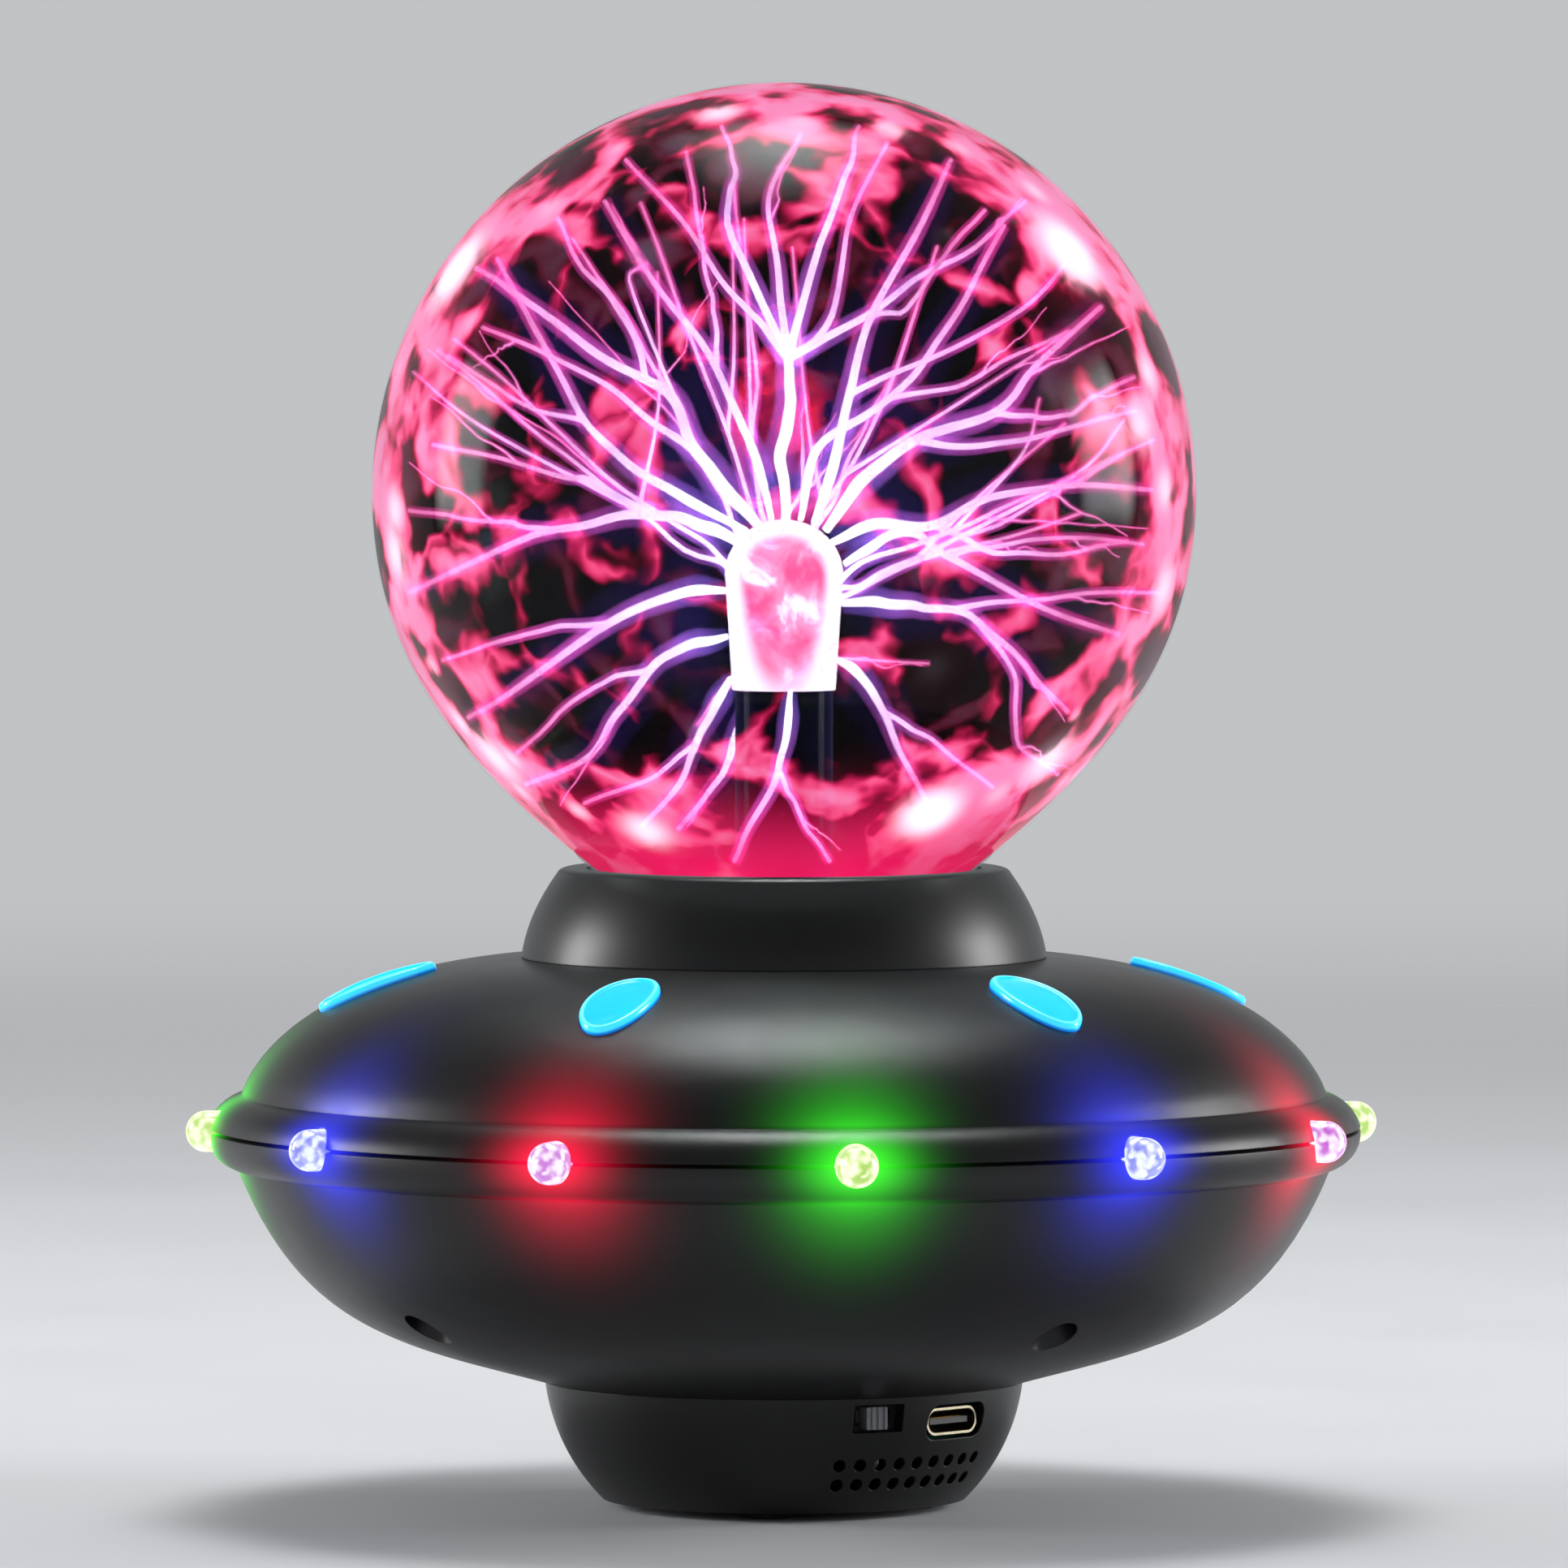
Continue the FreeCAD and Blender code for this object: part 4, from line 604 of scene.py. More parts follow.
# Painted light: a brighter band along the rim's crest.
rim_in = node(tree, "MapRange", {"Value": inset, "From Min": 0.66, "From Max": 0.5},
              interpolation_type="SMOOTHSTEP")
rim_out = node(tree, "MapRange", {"Value": inset, "From Min": 0.14, "From Max": 0.32},
               interpolation_type="SMOOTHSTEP")
rim = node(tree, "Math", {0: rim_in, 1: rim_out}, operation="MULTIPLY")
body = node(tree, "Mix", {0: rim, 6: body, 7: CYAN_RIM}, out=2, data_type="RGBA")
# Painted shade: deep blue low on the outer side, where the window sits in the dome.
foot = node(tree, "MapRange", {"Value": proud, "From Min": 0.5, "From Max": 0.1},
            interpolation_type="SMOOTHSTEP")
body = node(tree, "Mix", {0: foot, 6: body, 7: CYAN_FOOT_SHADE}, out=2, data_type="RGBA")
skin = node(tree, "BsdfPrincipled", {"Base Color": CYAN_DEEP, "Roughness": 0.12, "IOR": 1.49,
                                     "Emission Color": body, "Emission Strength": 0.85})
node(tree, "OutputMaterial", {"Surface": skin})
for number in range(1, WINDOWS + 1):
    name = f"dome_window_{number}"
    mesh = bpy.data.meshes.new(name)
    mesh.from_pydata(points, [], faces)
    mesh.shade_smooth()
    mark(mesh, "inset", insets)
    mark(mesh, "proud", prouds)
    lit = shown(name, mesh, acrylic)
    lit.matrix_world = Matrix.Rotation(2 * math.pi * (number - 1) / WINDOWS, 4, "Z")
    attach(lit, "root")
    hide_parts(f"window_{number}")

# Collar: the flared ring on the dome that takes the globe, moulded in the same ABS as the housing.
# A rubber gasket seals its mouth, and a thin rubber sleeve lines the socket round the glass neck.

SEAL_BLACK, SEAL_WORN = "#0c0c0d", "#1c1c1d"

dress(black_abs, "globe_collar")
# Rubber, moulded: the sealing ring and the sleeve, black and soft.
dress(plain("rubber_moulded", SEAL_BLACK, SEAL_WORN, size=0.8, rough=0.7, depth=0.01),
      "globe_gasket", "neck_sleeve")

# Electrode: a thin glass capsule on a glass stem, with the contact rod up its middle and a silicone
# boot below. The discharge starts on the capsule, so it glows white at its edge and pink inside.

# The gas shell is tinted dark, a painted shade over the globe's inside; this is the share of light it lets by
# in one pass.
GAS_SHADE_SHARE = 0.09               # share of light that one pass through the globe's glow lets by
THROUGH = 1 / GAS_SHADE_SHARE        # lights inside are raised by this, so that they show through it
CAPSULE_WHITE = "#ffeaff"
CAPSULE_PINK = "#ff9cc8"
CAPSULE_DEEP = "#f2568f"
CAPSULE_BLOT = 5.0            # mm
CAPSULE_LIGHT = 1.35
CAPSULE_FOOT_R = 6.25         # mm, as the sizes below
CAPSULE_R = 7.15              # where its rounded end begins
CAPSULE_H = 20.6
CAPSULE_DOME = 6.6            # height of that end
CAPSULE_ROUND = 64            # points round it
DOME_STEPS = 14
STEM_PAINTED_SHEEN = "#2a2a66"
STEM_DARK = "#06060f"
STEM_STREAK = 6.0             # mm
STEM_LIGHT = 0.5
BRASS_DULL, BRASS = "#a8843c", "#c9a75a"
BOOT_DARK, BOOT_RED = "#6e2018", "#8c3024"

# Glass, blown thin and lit by the discharge: mottled pink with a white burning edge.
capsule_glass = material("glass_blown_glowing")
tree = capsule_glass.node_tree
place = node(tree, "TexCoord", out="Object")
mottle = node(tree, "TexNoise", {"Vector": place, "Scale": 1 / (CAPSULE_BLOT * MM), "Detail": 4.0,
                                 "Distortion": 0.5})
share = node(tree, "MapRange", {"Value": mottle, "From Min": 0.36, "From Max": 0.62},
             interpolation_type="SMOOTHSTEP")
inside = node(tree, "Mix", {0: share, 6: CAPSULE_DEEP, 7: CAPSULE_PINK}, out=2, data_type="RGBA")
hot = node(tree, "MapRange", {"Value": mottle, "From Min": 0.55, "From Max": 0.64},
           interpolation_type="SMOOTHSTEP")
inside = node(tree, "Mix", {0: hot, 6: inside, 7: CAPSULE_WHITE}, out=2, data_type="RGBA")
facing = node(tree, "LayerWeight", {"Blend": 0.5}, out="Facing")
edge = node(tree, "MapRange", {"Value": facing, "From Min": 0.2, "From Max": 0.42},
            interpolation_type="SMOOTHSTEP")
inside = node(tree, "Mix", {0: edge, 6: inside, 7: CAPSULE_WHITE}, out=2, data_type="RGBA")
skin = node(tree, "BsdfPrincipled", {"Base Color": "#000000", "Roughness": 0.1,
                                     "Emission Color": inside, "Emission Strength": THROUGH * CAPSULE_LIGHT})
node(tree, "OutputMaterial", {"Surface": skin})
capsule_profile = [(0, 0), (CAPSULE_FOOT_R, 0), (CAPSULE_R, CAPSULE_H - CAPSULE_DOME)]
capsule_profile += [(CAPSULE_R * math.cos(t), CAPSULE_H - CAPSULE_DOME + CAPSULE_DOME * math.sin(t))
                    for t in np.linspace(0, math.pi / 2, DOME_STEPS)[1:-1]]
capsule_profile += [(0, CAPSULE_H)]
capsule_mesh = spun("electrode_glow", capsule_profile, CAPSULE_ROUND)
capsule = shown("electrode_glow", capsule_mesh, capsule_glass)
capsule_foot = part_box("electrode_capsule")[0].z
capsule.matrix_world = Matrix.Translation((0, 0, capsule_foot))
capsule.visible_diffuse = capsule.visible_glossy = False
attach(capsule, "root")
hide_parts("electrode_capsule")

# Glass tube, drawn: dark, with a dim blue sheen along its sides, painted as emission.
stem_glass = material("glass_drawn_tube")
tree = stem_glass.node_tree
place = node(tree, "TexCoord", out="Object")
streak = node(tree, "TexNoise", {"Vector": place, "Scale": 1 / (STEM_STREAK * MM), "Detail": 2.0})
facing = node(tree, "LayerWeight", {"Blend": 0.4}, out="Facing")
mixed = node(tree, "Math", {0: facing, 1: streak}, operation="MULTIPLY")
sheen = node(tree, "Mix", {0: mixed, 6: STEM_DARK, 7: STEM_PAINTED_SHEEN}, out=2, data_type="RGBA")
skin = node(tree, "BsdfPrincipled", {"Base Color": STEM_DARK, "Roughness": 0.08,
                                     "Emission Color": sheen, "Emission Strength": THROUGH * STEM_LIGHT})
node(tree, "OutputMaterial", {"Surface": skin})
dress(stem_glass, "electrode_stem")
# Brass, turned: yellow metal with fine tool marks.
dress(plain("brass_turned", BRASS_DULL, BRASS, size=0.3, rough=0.28, depth=0.003, metallic=1.0),
      "stem_contact")
# Silicone, moulded: translucent red-brown boot.
dress(plain("silicone_moulded", BOOT_DARK, BOOT_RED, size=1.5, rough=0.5, depth=0.01), "hv_boot")

# Discharge: bright strands of glowing gas from the capsule to the glass, forking as they go.
# They have no wall, so each is a thin burning core in a faint lilac sheath.

VIEW_TURN = math.radians(-37.0)       # the side of the ball that the strands below are laid out from
globe_low, globe_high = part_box("glass_globe")
GLOBE_R = (globe_high.x - globe_low.x) / 2 / MM
GLOBE_Z = globe_high.z / MM - GLOBE_R
GLASS = 1.5                           # mm
OFF_GLASS = 0.4
STRAND_R = GLOBE_R - GLASS - OFF_GLASS      # mm, where the strands end on the inside of the glass
CORE_WHITE = "#fff8ff"
CORE_LILAC = "#f3ceff"
CORE_PINK = "#ff8ccb"
SHEATH_LILAC = "#8f78ff"
SHEATH_PINK = "#ff3a9c"
HAZE_BLUE = "#5a48ff"
HAZE_VIOLET = "#8a48e0"

toward = Vector((math.sin(VIEW_TURN), -math.cos(VIEW_TURN), 0))
right = Vector((math.cos(VIEW_TURN), math.sin(VIEW_TURN), 0))
rng = np.random.default_rng(12)

# Each strand: side (1 near, -1 far, OPEN where it ends in its forks), thickness in mm, its route as
# (right of axis, height) in mm, and forks that leave it where their first point lies.
OPEN = 0
OPEN_DEPTH = 5.0              # mm towards the near side, where an open strand ends
OPEN_SHARE = 0.3              # how far out an open strand's end counts as
ROOT = 0.5                    # thickness of a strand where it leaves the capsule, against its fullest
ROOT_SHARE = 0.16             # how far out it is at its fullest
OFF_CAPSULE = 7.2             # mm from the axis, just outside the capsule
OFF_MIDDLE = 3.5              # mm before or behind the axis where a strand leaves, at the least
DOME_FROM = 112               # mm; a strand that starts lower leaves the capsule's side
FULLEST = 0.68                # radius of a strand at its fullest, against its thickness
OPEN_END_R = 0.6              # mm, as the radii below
END_R = 0.3
FORK_R = 0.85                 # against the strand's own radius where it leaves it
FORK_END_R = 0.24
FORK_TOE_R = 0.2
WAVER = 0.35                  # mm, sideways wavering of strands and forks
FOOT_SIZE, FOOT_LIGHT = (2.0, 4.2), (0.45, 0.95)
TOE_SIZE, TOE_LIGHT = (1.6, 3.0), (0.3, 0.7)
TOE_LENGTH = (8, 14)          # mm
TOE_R, TOE_END_R = 0.8, 0.06  # start against the strand's radius, end in mm
TOE_WAVER = 0.3
TOE_SPREAD = 0.3              # how far a leg turns from its strand
TOE_SHARE = 0.8               # how far out a leg's start counts as
STRANDS = (
    (OPEN, 1.7, ((0.2, 118.5), (0.0, 126), (0.6, 133), (0.5, 139)), (
        ((0.5, 139), (-2.5, 143), (-6.5, 147), (-12.6, 156), (-19, 163)),
        ((0.5, 139), (-0.8, 149), (-1.6, 158), (2, 166)),
        ((-5.4, 146), (-6.6, 155), (-5.8, 162), (-7.5, 167)),
        ((0.5, 139), (4, 141.5), (6.3, 146), (8, 156), (12.4, 165)),
        ((3, 141), (9, 143.5), (16, 148.5), (23, 153), (29, 158)),
        ((8, 156), (7, 161), (9, 167)))),
    (1, 1.7, ((-3, 118.8), (-6.5, 122.5), (-10.6, 127.6), (-14, 135), (-24, 141), (-33, 147.5), (-37, 150)), (
        ((-10.6, 127.6), (-15, 131), (-20.5, 135.2), (-29, 140), (-36, 143)),
        ((-17, 137), (-18.5, 143), (-24, 150), (-27, 156)))),
    (-1, 1.2, ((-4.5, 118), (-12, 122), (-19, 126), (-24, 131), (-29, 140), (-35, 151)), (
        ((-24, 131), (-31, 133), (-41, 139)),)),
    (1, 1.6, ((-5, 116.5), (-9.5, 119.2), (-14.7, 120), (-23, 119), (-32, 117), (-45, 111)), (
        ((-16, 120), (-22, 123.5), (-29, 126), (-42, 129)),
        ((-28, 118), (-35, 119.5), (-45, 121)))),
    (1, 1.3, ((-7, 111), (-13, 111), (-21, 107), (-29, 101), (-38, 96)), (
        ((-21, 107), (-29, 106.5), (-41, 103)),)),
    (1, 1.2, ((-6.8, 105.5), (-11, 104.4), (-15, 102.5), (-20, 96), (-24, 91), (-31, 88)), (
        ((-16, 101.5), (-23, 99.5), (-32, 92)),)),
    (1, 1.1, ((-6.4, 100.5), (-8.5, 97), (-10.6, 92.5), (-12.6, 88), (-17, 83.5)), (
        ((-10.6, 92.5), (-15, 89.5), (-24, 86)),)),
    (1, 0.9, ((0.8, 99), (0.2, 94), (-1, 89), (-3.8, 83.5), (-6, 79)), (
        ((-0.8, 90), (1.6, 85), (5.5, 79)), )),
    (-1, 1.0, ((-2.5, 99), (-6, 93), (-8, 87), (-13, 81)), ()),
    (1, 1.2, ((6.6, 102.6), (9.2, 100.8), (12, 96.5), (14.3, 91.5), (17, 86.5)), (
        ((12, 96.5), (17.5, 93.5), (25, 88)),)),
    (1, 1.3, ((7, 109.5), (11.5, 110), (16, 109), (23, 107.5), (28, 103), (34, 97)), (
        ((20, 108.6), (30, 110.5), (45, 111)),
        ((23, 107.5), (27.5, 101), (28.5, 93), (33, 89)))),
    (-1, 1.2, ((7.3, 114), (11, 116.5), (16, 117.5), (20, 115), (30, 109), (41, 105)), (
        ((20, 115), (29, 117), (44, 116)),)),
    (1, 1.4, ((5.8, 116.8), (11, 119), (18, 119), (24, 122), (34, 124), (44, 123.5)), (
        ((18, 119), (28, 115.5), (41, 117.5)),)),
    (1, 1.6, ((5, 118.2), (10, 125), (16, 129.6), (25, 132), (30, 138), (38, 145.5)), (
        ((16, 129.6), (24, 128.5), (34, 131), (42, 133)),
        ((25, 132), (33, 132.5), (42, 137)))),
    (1, 1.3, ((3.6, 119), (6, 126), (8, 134.5), (10, 144), (16.4, 155), (20, 163)), (
        ((8, 134.5), (12, 137), (18, 139), (28.6, 145), (34, 151)),
        ((10, 144), (16, 147), (24, 157)))),
    (-1, 1.1, ((2, 119.3), (4.4, 128), (13, 134), (20, 143), (27, 155)), (
        ((13, 134), (22, 136), (35, 142)),)),
    (-1, 1.1, ((-1.5, 119.4), (-4, 129), (-8, 138), (-15, 146), (-22, 158)), (
        ((-8, 138), (-9, 148), (-12, 164)),)),
)


def curve_through(points, steps=7):
    """A smooth line through points, sampled evenly between each two."""
    p = np.vstack([2 * points[0] - points[1], points, 2 * points[-1] - points[-2]])
    line = []
    for a, b, c, d in zip(p, p[1:], p[2:], p[3:]):
        for t in np.arange(steps) / steps:
            line.append(0.5 * (2 * b + (c - a) * t + (2 * a - 5 * b + 4 * c - d) * t ** 2
                               + (3 * b - a - 3 * c + d) * t ** 3))
    return np.array(line + [p[-2]])


def depth_on_gas(across, height, side):
    """How far before (or behind, if negative) the axis a strand ends, where it meets the glass."""
    if side == OPEN:
        return OPEN_DEPTH
    flat_2 = across ** 2 + (height - GLOBE_Z) ** 2
    return side * math.sqrt(max(STRAND_R ** 2 - flat_2, 0.0))


def laid(route, side, start_depth):
    """A strand's (right, height, toward) points: it leaves at start_depth and ends on the glass."""
    route = np.array(route, float)
    end = depth_on_gas(*route[-1], side)
    gone = np.concatenate([[0], np.cumsum(np.hypot(*np.diff(route, axis=0).T))])
    share = (gone / gone[-1]) ** 1.25
    return np.column_stack([route, start_depth + (end - start_depth) * share])


def wander(line, amount):
    """Small sideways wavering, none at the ends."""
    n = len(line)
    waves = sum(np.outer(np.sin(np.linspace(0, math.pi * k * 2.3, n) + rng.uniform(0, 6.3)),
                         rng.normal(size=3)) / k for k in (1, 2, 4))
    return line + waves * amount * np.sin(np.linspace(0, math.pi, n))[:, None]


def onto_glass(point):
    """The point pushed out to the gas surface, about the globe's centre."""
    centre = np.array([0, GLOBE_Z, 0])
    away = point - centre
    return centre + away * STRAND_R / np.linalg.norm(away)


strands = []          # (points, start radius, end radius, start share, end share) in the layout's own axes
feet = []             # (point, size in mm, brightness)


def toes(line, r):
    """Where a strand meets the glass it spreads into a bright foot and now and then a short leg."""
    tip = onto_glass(line[-1])
    feet.append((tip, rng.uniform(*FOOT_SIZE), rng.uniform(*FOOT_LIGHT)))
    if rng.integers(0, 2):
        start = int(rng.integers(len(line) // 2, len(line) - 4))
        near = line[start]
        turn = line[start + 3] - near
        turn = turn / np.linalg.norm(turn) + rng.normal(size=3) * TOE_SPREAD
        far = onto_glass(near + turn / np.linalg.norm(turn) * rng.uniform(*TOE_LENGTH))
        bend = near * 0.55 + far * 0.45
        leg = wander(curve_through(np.array([near, bend, far])), TOE_WAVER)
        strands.append((leg, r * TOE_R, TOE_END_R, TOE_SHARE, 1.0))
        feet.append((far, rng.uniform(*TOE_SIZE), rng.uniform(*TOE_LIGHT)))


for side, thick, route, forks in STRANDS:
    is_open = side == OPEN
    across, height = route[0]
    start_depth = math.sqrt(max(OFF_CAPSULE ** 2 - across ** 2, 0)) if height < DOME_FROM else 0
    start_depth = max(OFF_MIDDLE, start_depth) * (-1 if side < 0 else 1)
    trunk = wander(curve_through(laid(route, side, start_depth)), WAVER)
    trunk_share = OPEN_SHARE if is_open else 1.0
    strands.append((trunk, thick * FULLEST, OPEN_END_R if is_open else END_R, 0.0, trunk_share))
    if not is_open:
        toes(trunk, END_R)
    for fork in forks:
        near = int(np.argmin(np.hypot(trunk[:, 0] - fork[0][0], trunk[:, 1] - fork[0][1])))
        fork_route = laid(fork, 1 if is_open else side, trunk[near, 2])
        fork_route[0] = trunk[near]
        branch = wander(curve_through(fork_route), WAVER)
        share = near / len(trunk) * trunk_share
        start_r = thick / 2 + (END_R - thick / 2) * share
        strands.append((branch, start_r * FORK_R, FORK_END_R, share, 1.0))
        toes(branch, FORK_TOE_R)

# The brightest spots, where several strands meet the glass: (right, height, size, brightness).
BRIGHT_SPOTS = ((-38, 149, 6.0, 1.25), (33, 151, 6.0, 1.25), (17, 86, 5.0, 1.2), (-45, 116, 5.0, 0.9),
                (-34, 92, 6.0, 0.8), (41, 131, 5.0, 0.8), (44, 112, 5.0, 0.8), (31, 92, 6.0, 0.8),
                (-16, 84, 4.5, 0.9))
for across, height, size, bright in BRIGHT_SPOTS:
    spot = np.array([across, height, depth_on_gas(across, height, 1)])
    feet.append((onto_glass(spot), size, bright))

# More strands to the far side, where the layout above has only a few.
FAR_STRANDS = 12
FAR_SPREAD = 75               # degrees to either side of straight behind
FAR_RISE = (-42, 62)          # degrees from level
FAR_START_R = 6.6             # mm from the axis
FAR_START_LOW, FAR_START_SPAN = 104, 13       # mm, heights on the capsule
FAR_R, FAR_END_R = (0.35, 0.55), 0.2
FAR_WAVER = 0.6
FAR_FORK_SPREAD = 13          # mm between a strand's end and its fork's
FAR_FORK_R, FAR_FORK_END_R = 0.3, 0.16
for i in range(FAR_STRANDS):
    aside = math.radians(-FAR_SPREAD + 2 * FAR_SPREAD * i / (FAR_STRANDS - 1)) + rng.uniform(-0.1, 0.1)
    rise = math.radians(rng.uniform(*FAR_RISE))
    start = np.array([FAR_START_R * math.sin(aside), FAR_START_LOW + FAR_START_SPAN * (0.5 + rise / 2.2),
                      -FAR_START_R * math.cos(aside)])
    end = np.array([math.sin(aside) * math.cos(rise), math.sin(rise), -math.cos(aside) * math.cos(rise)])
    end = end * STRAND_R + [0, GLOBE_Z, 0]
    middle = start * 0.5 + end * 0.5 + [0, rng.uniform(-4, 5), 0]
    quarter = start * 0.75 + middle * 0.25 + rng.normal(size=3)
    trunk = wander(curve_through(np.array([start, quarter, middle, end])), FAR_WAVER)
    strands.append((trunk, rng.uniform(*FAR_R), FAR_END_R, 0.1, 1.0))
    toes(trunk, FAR_END_R)
    near = len(trunk) // 2
    far = end + rng.normal(size=3) * FAR_FORK_SPREAD
    branch = curve_through(np.array([trunk[near], trunk[near] * 0.5 + far * 0.5, onto_glass(far)]))
    strands.append((branch, FAR_FORK_R, FAR_FORK_END_R, 0.5, 1.0))
    toes(branch, FAR_FORK_END_R)


def kept_inside(line):
    """The line with any point beyond the glass moved back onto its inner side."""
    centre = np.array([0, GLOBE_Z, 0])
    away = line - centre
    reach = np.linalg.norm(away, axis=1)
    return centre + away * (np.minimum(reach, STRAND_R) / reach)[:, None]


def to_ball(points):
    """From (right, height, toward) in mm to the ball's own frame in metres."""
    across, height, near = points.T
    return (np.outer(across, right) + np.outer(height, (0, 0, 1)) + np.outer(near, toward)) * MM


TUBE_SIDES = 10
TUBE_TAPER = 0.7              # under 1 a tube thins sooner


def tubes(name, wider, least_r=0.0):
    """One mesh of tapered tubes along all strands that start with least_r mm or more.

    Each point carries its share of the way out."""
    points, faces, shares = [], [], []
    for line, r_start, r_end, share_start, share_end in strands:
        if r_start < least_r:
            continue
        path = to_ball(kept_inside(line))
        n = len(path)
        along = np.gradient(path, axis=0)
        along /= np.linalg.norm(along, axis=1)[:, None] + 1e-12
        beside = np.cross(along[0], toward if abs(along[0] @ toward) < 0.8 else right)
        first = []
        for step in along:
            beside = beside - step * (step @ beside)
            beside = beside / np.linalg.norm(beside)
            first.append(beside)
        first = np.array(first)
        second = np.cross(along, first)
        t = np.linspace(0, 1, n)
        swell = ROOT + (1 - ROOT) * np.clip(np.linspace(share_start, share_end, n) / ROOT_SHARE, 0, 1)
        r = (r_start + (r_end - r_start) * t ** TUBE_TAPER) * MM * wider * swell
        base = len(points)
        for i in range(n):
            for k in range(TUBE_SIDES):
                turn = 2 * math.pi * k / TUBE_SIDES
                points.append(path[i] + r[i] * (first[i] * math.cos(turn) + second[i] * math.sin(turn)))
                shares.append(share_start + (share_end - share_start) * t[i])
        end = base + (n - 1) * TUBE_SIDES
        for low in range(base, end, TUBE_SIDES):
            for k in range(TUBE_SIDES):
                j = (k + 1) % TUBE_SIDES
                faces.append((low + k, low + j, low + TUBE_SIDES + j, low + TUBE_SIDES + k))
        faces.append([base + k for k in reversed(range(TUBE_SIDES))])
        faces.append([end + k for k in range(TUBE_SIDES)])
    mesh = bpy.data.meshes.new(name)
    mesh.from_pydata([tuple(p) for p in points], [], faces)
    mesh.shade_smooth()
    mark(mesh, "share", shares)
    return mesh


def only_seen(piece):
    """Glowing gas neither shades nor lights nor mirrors in what stands round it."""
    piece.visible_shadow = piece.visible_diffuse = piece.visible_glossy = False


# Discharge core: white-lilac near the capsule, pink towards the glass.
core = material("plasma_core")
tree = core.node_tree
share = node(tree, "Attribute", out="Fac", attribute_name="share")
place = node(tree, "TexCoord", out="Object")
flicker = node(tree, "TexNoise", {"Vector": place, "Scale": 1 / (7 * MM), "Detail": 3.0})
warm = node(tree, "MapRange", {"Value": share, "From Min": 0.1, "From Max": 0.5},
            interpolation_type="SMOOTHSTEP")
light = node(tree, "Mix", {0: warm, 6: CORE_WHITE, 7: CORE_LILAC}, out=2, data_type="RGBA")
tail = node(tree, "MapRange", {"Value": share, "From Min": 0.5, "From Max": 1.0},
            interpolation_type="SMOOTHSTEP")
light = node(tree, "Mix", {0: tail, 6: light, 7: CORE_PINK}, out=2, data_type="RGBA")
facing = node(tree, "LayerWeight", {"Blend": 0.5}, out="Facing")
power = node(tree, "MapRange", {"Value": flicker, "From Min": 0.3, "From Max": 0.7,
                                "To Min": THROUGH * 1.1, "To Max": THROUGH * 2.0})
dimmer = node(tree, "MapRange", {"Value": share, "From Min": 0.1, "From Max": 1.0, "To Min": 1.0,
                                 "To Max": 0.5})
power = node(tree, "Math", {0: power, 1: dimmer}, operation="MULTIPLY")
glow = node(tree, "Emission", {"Color": light, "Strength": power})
clear = node(tree, "BsdfTransparent", {"Color": "#ffffff"})
soft = node(tree, "MapRange", {"Value": facing, "From Min": 0.4, "From Max": 1.0},
            interpolation_type="SMOOTHSTEP")
skin = node(tree, "MixShader", {0: soft, 1: glow, 2: clear})
node(tree, "OutputMaterial", {"Surface": skin})
strand_core = shown("plasma_strands", tubes("plasma_strands", 1.0), core)
only_seen(strand_core)
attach(strand_core, "root")


def mist(name, near_colour, far_colour, strength, shape):
    """A glow with no edge: strongest where one looks through its middle. shape thins its flanks."""
    made = material(name)
    tree = made.node_tree
    share = node(tree, "Attribute", out="Fac", attribute_name="share")
    facing = node(tree, "LayerWeight", {"Blend": 0.5}, out="Facing")
    thick = node(tree, "MapRange", {"Value": facing, "From Min": 1.0, "From Max": 0.0})
    thick = node(tree, "Math", {0: thick, 1: shape}, operation="POWER")
    place = node(tree, "TexCoord", out="Object")
    cloud = node(tree, "TexNoise", {"Vector": place, "Scale": 1 / (9 * MM), "Detail": 2.0})
    light = node(tree, "Mix", {0: share, 6: near_colour, 7: far_colour}, out=2, data_type="RGBA")
    begun = node(tree, "MapRange", {"Value": share, "From Max": 0.22, "To Min": 0.3})
    thick = node(tree, "Math", {0: thick, 1: begun}, operation="MULTIPLY")
    power = node(tree, "MapRange", {"Value": cloud, "From Min": 0.3, "From Max": 0.7,
                                    "To Min": THROUGH * strength * 0.5, "To Max": THROUGH * strength * 1.5})
    power = node(tree, "Math", {0: thick, 1: power}, operation="MULTIPLY")
    glow = node(tree, "Emission", {"Color": light, "Strength": power})
    clear = node(tree, "BsdfTransparent", {"Color": "#ffffff"})
    skin = node(tree, "AddShader", {0: glow, 1: clear})
    node(tree, "OutputMaterial", {"Surface": skin})
    return made


# Discharge sheath: a lilac mist round each core, fading to nothing at its edge.
sheath = mist("plasma_sheath", SHEATH_LILAC, SHEATH_PINK, 0.3, 1.3)
# Discharge haze: a wide blue-violet glow along the thickest strands.
haze = mist("plasma_haze", HAZE_BLUE, HAZE_VIOLET, 0.018, 1.6)
for name, mesh, finish in (("plasma_mist", tubes("plasma_mist", 2.9), sheath),
                           ("plasma_haze", tubes("plasma_haze", 8.0, 0.62), haze)):
    strand_mist = shown(name, mesh, finish)
    only_seen(strand_mist)
    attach(strand_mist, "root")

# Far veil: a bloom of glowing gas that has no wall, where a strand spreads on the far glass.
# It shows dimly red between the upper strands.

BLOOM_AT = (-1.0, 131.0)      # right of the axis and height, mm
BLOOM_R = 8.5                 # mm
BLOOM_RINGS = 8
BLOOM_IN = 0.96               # its depth against that of the far glass
BLOOM_FOLD = 6.0              # mm
BLOOM_RED = "#ff2038"
BLOOM_DEEP = "#c8002c"

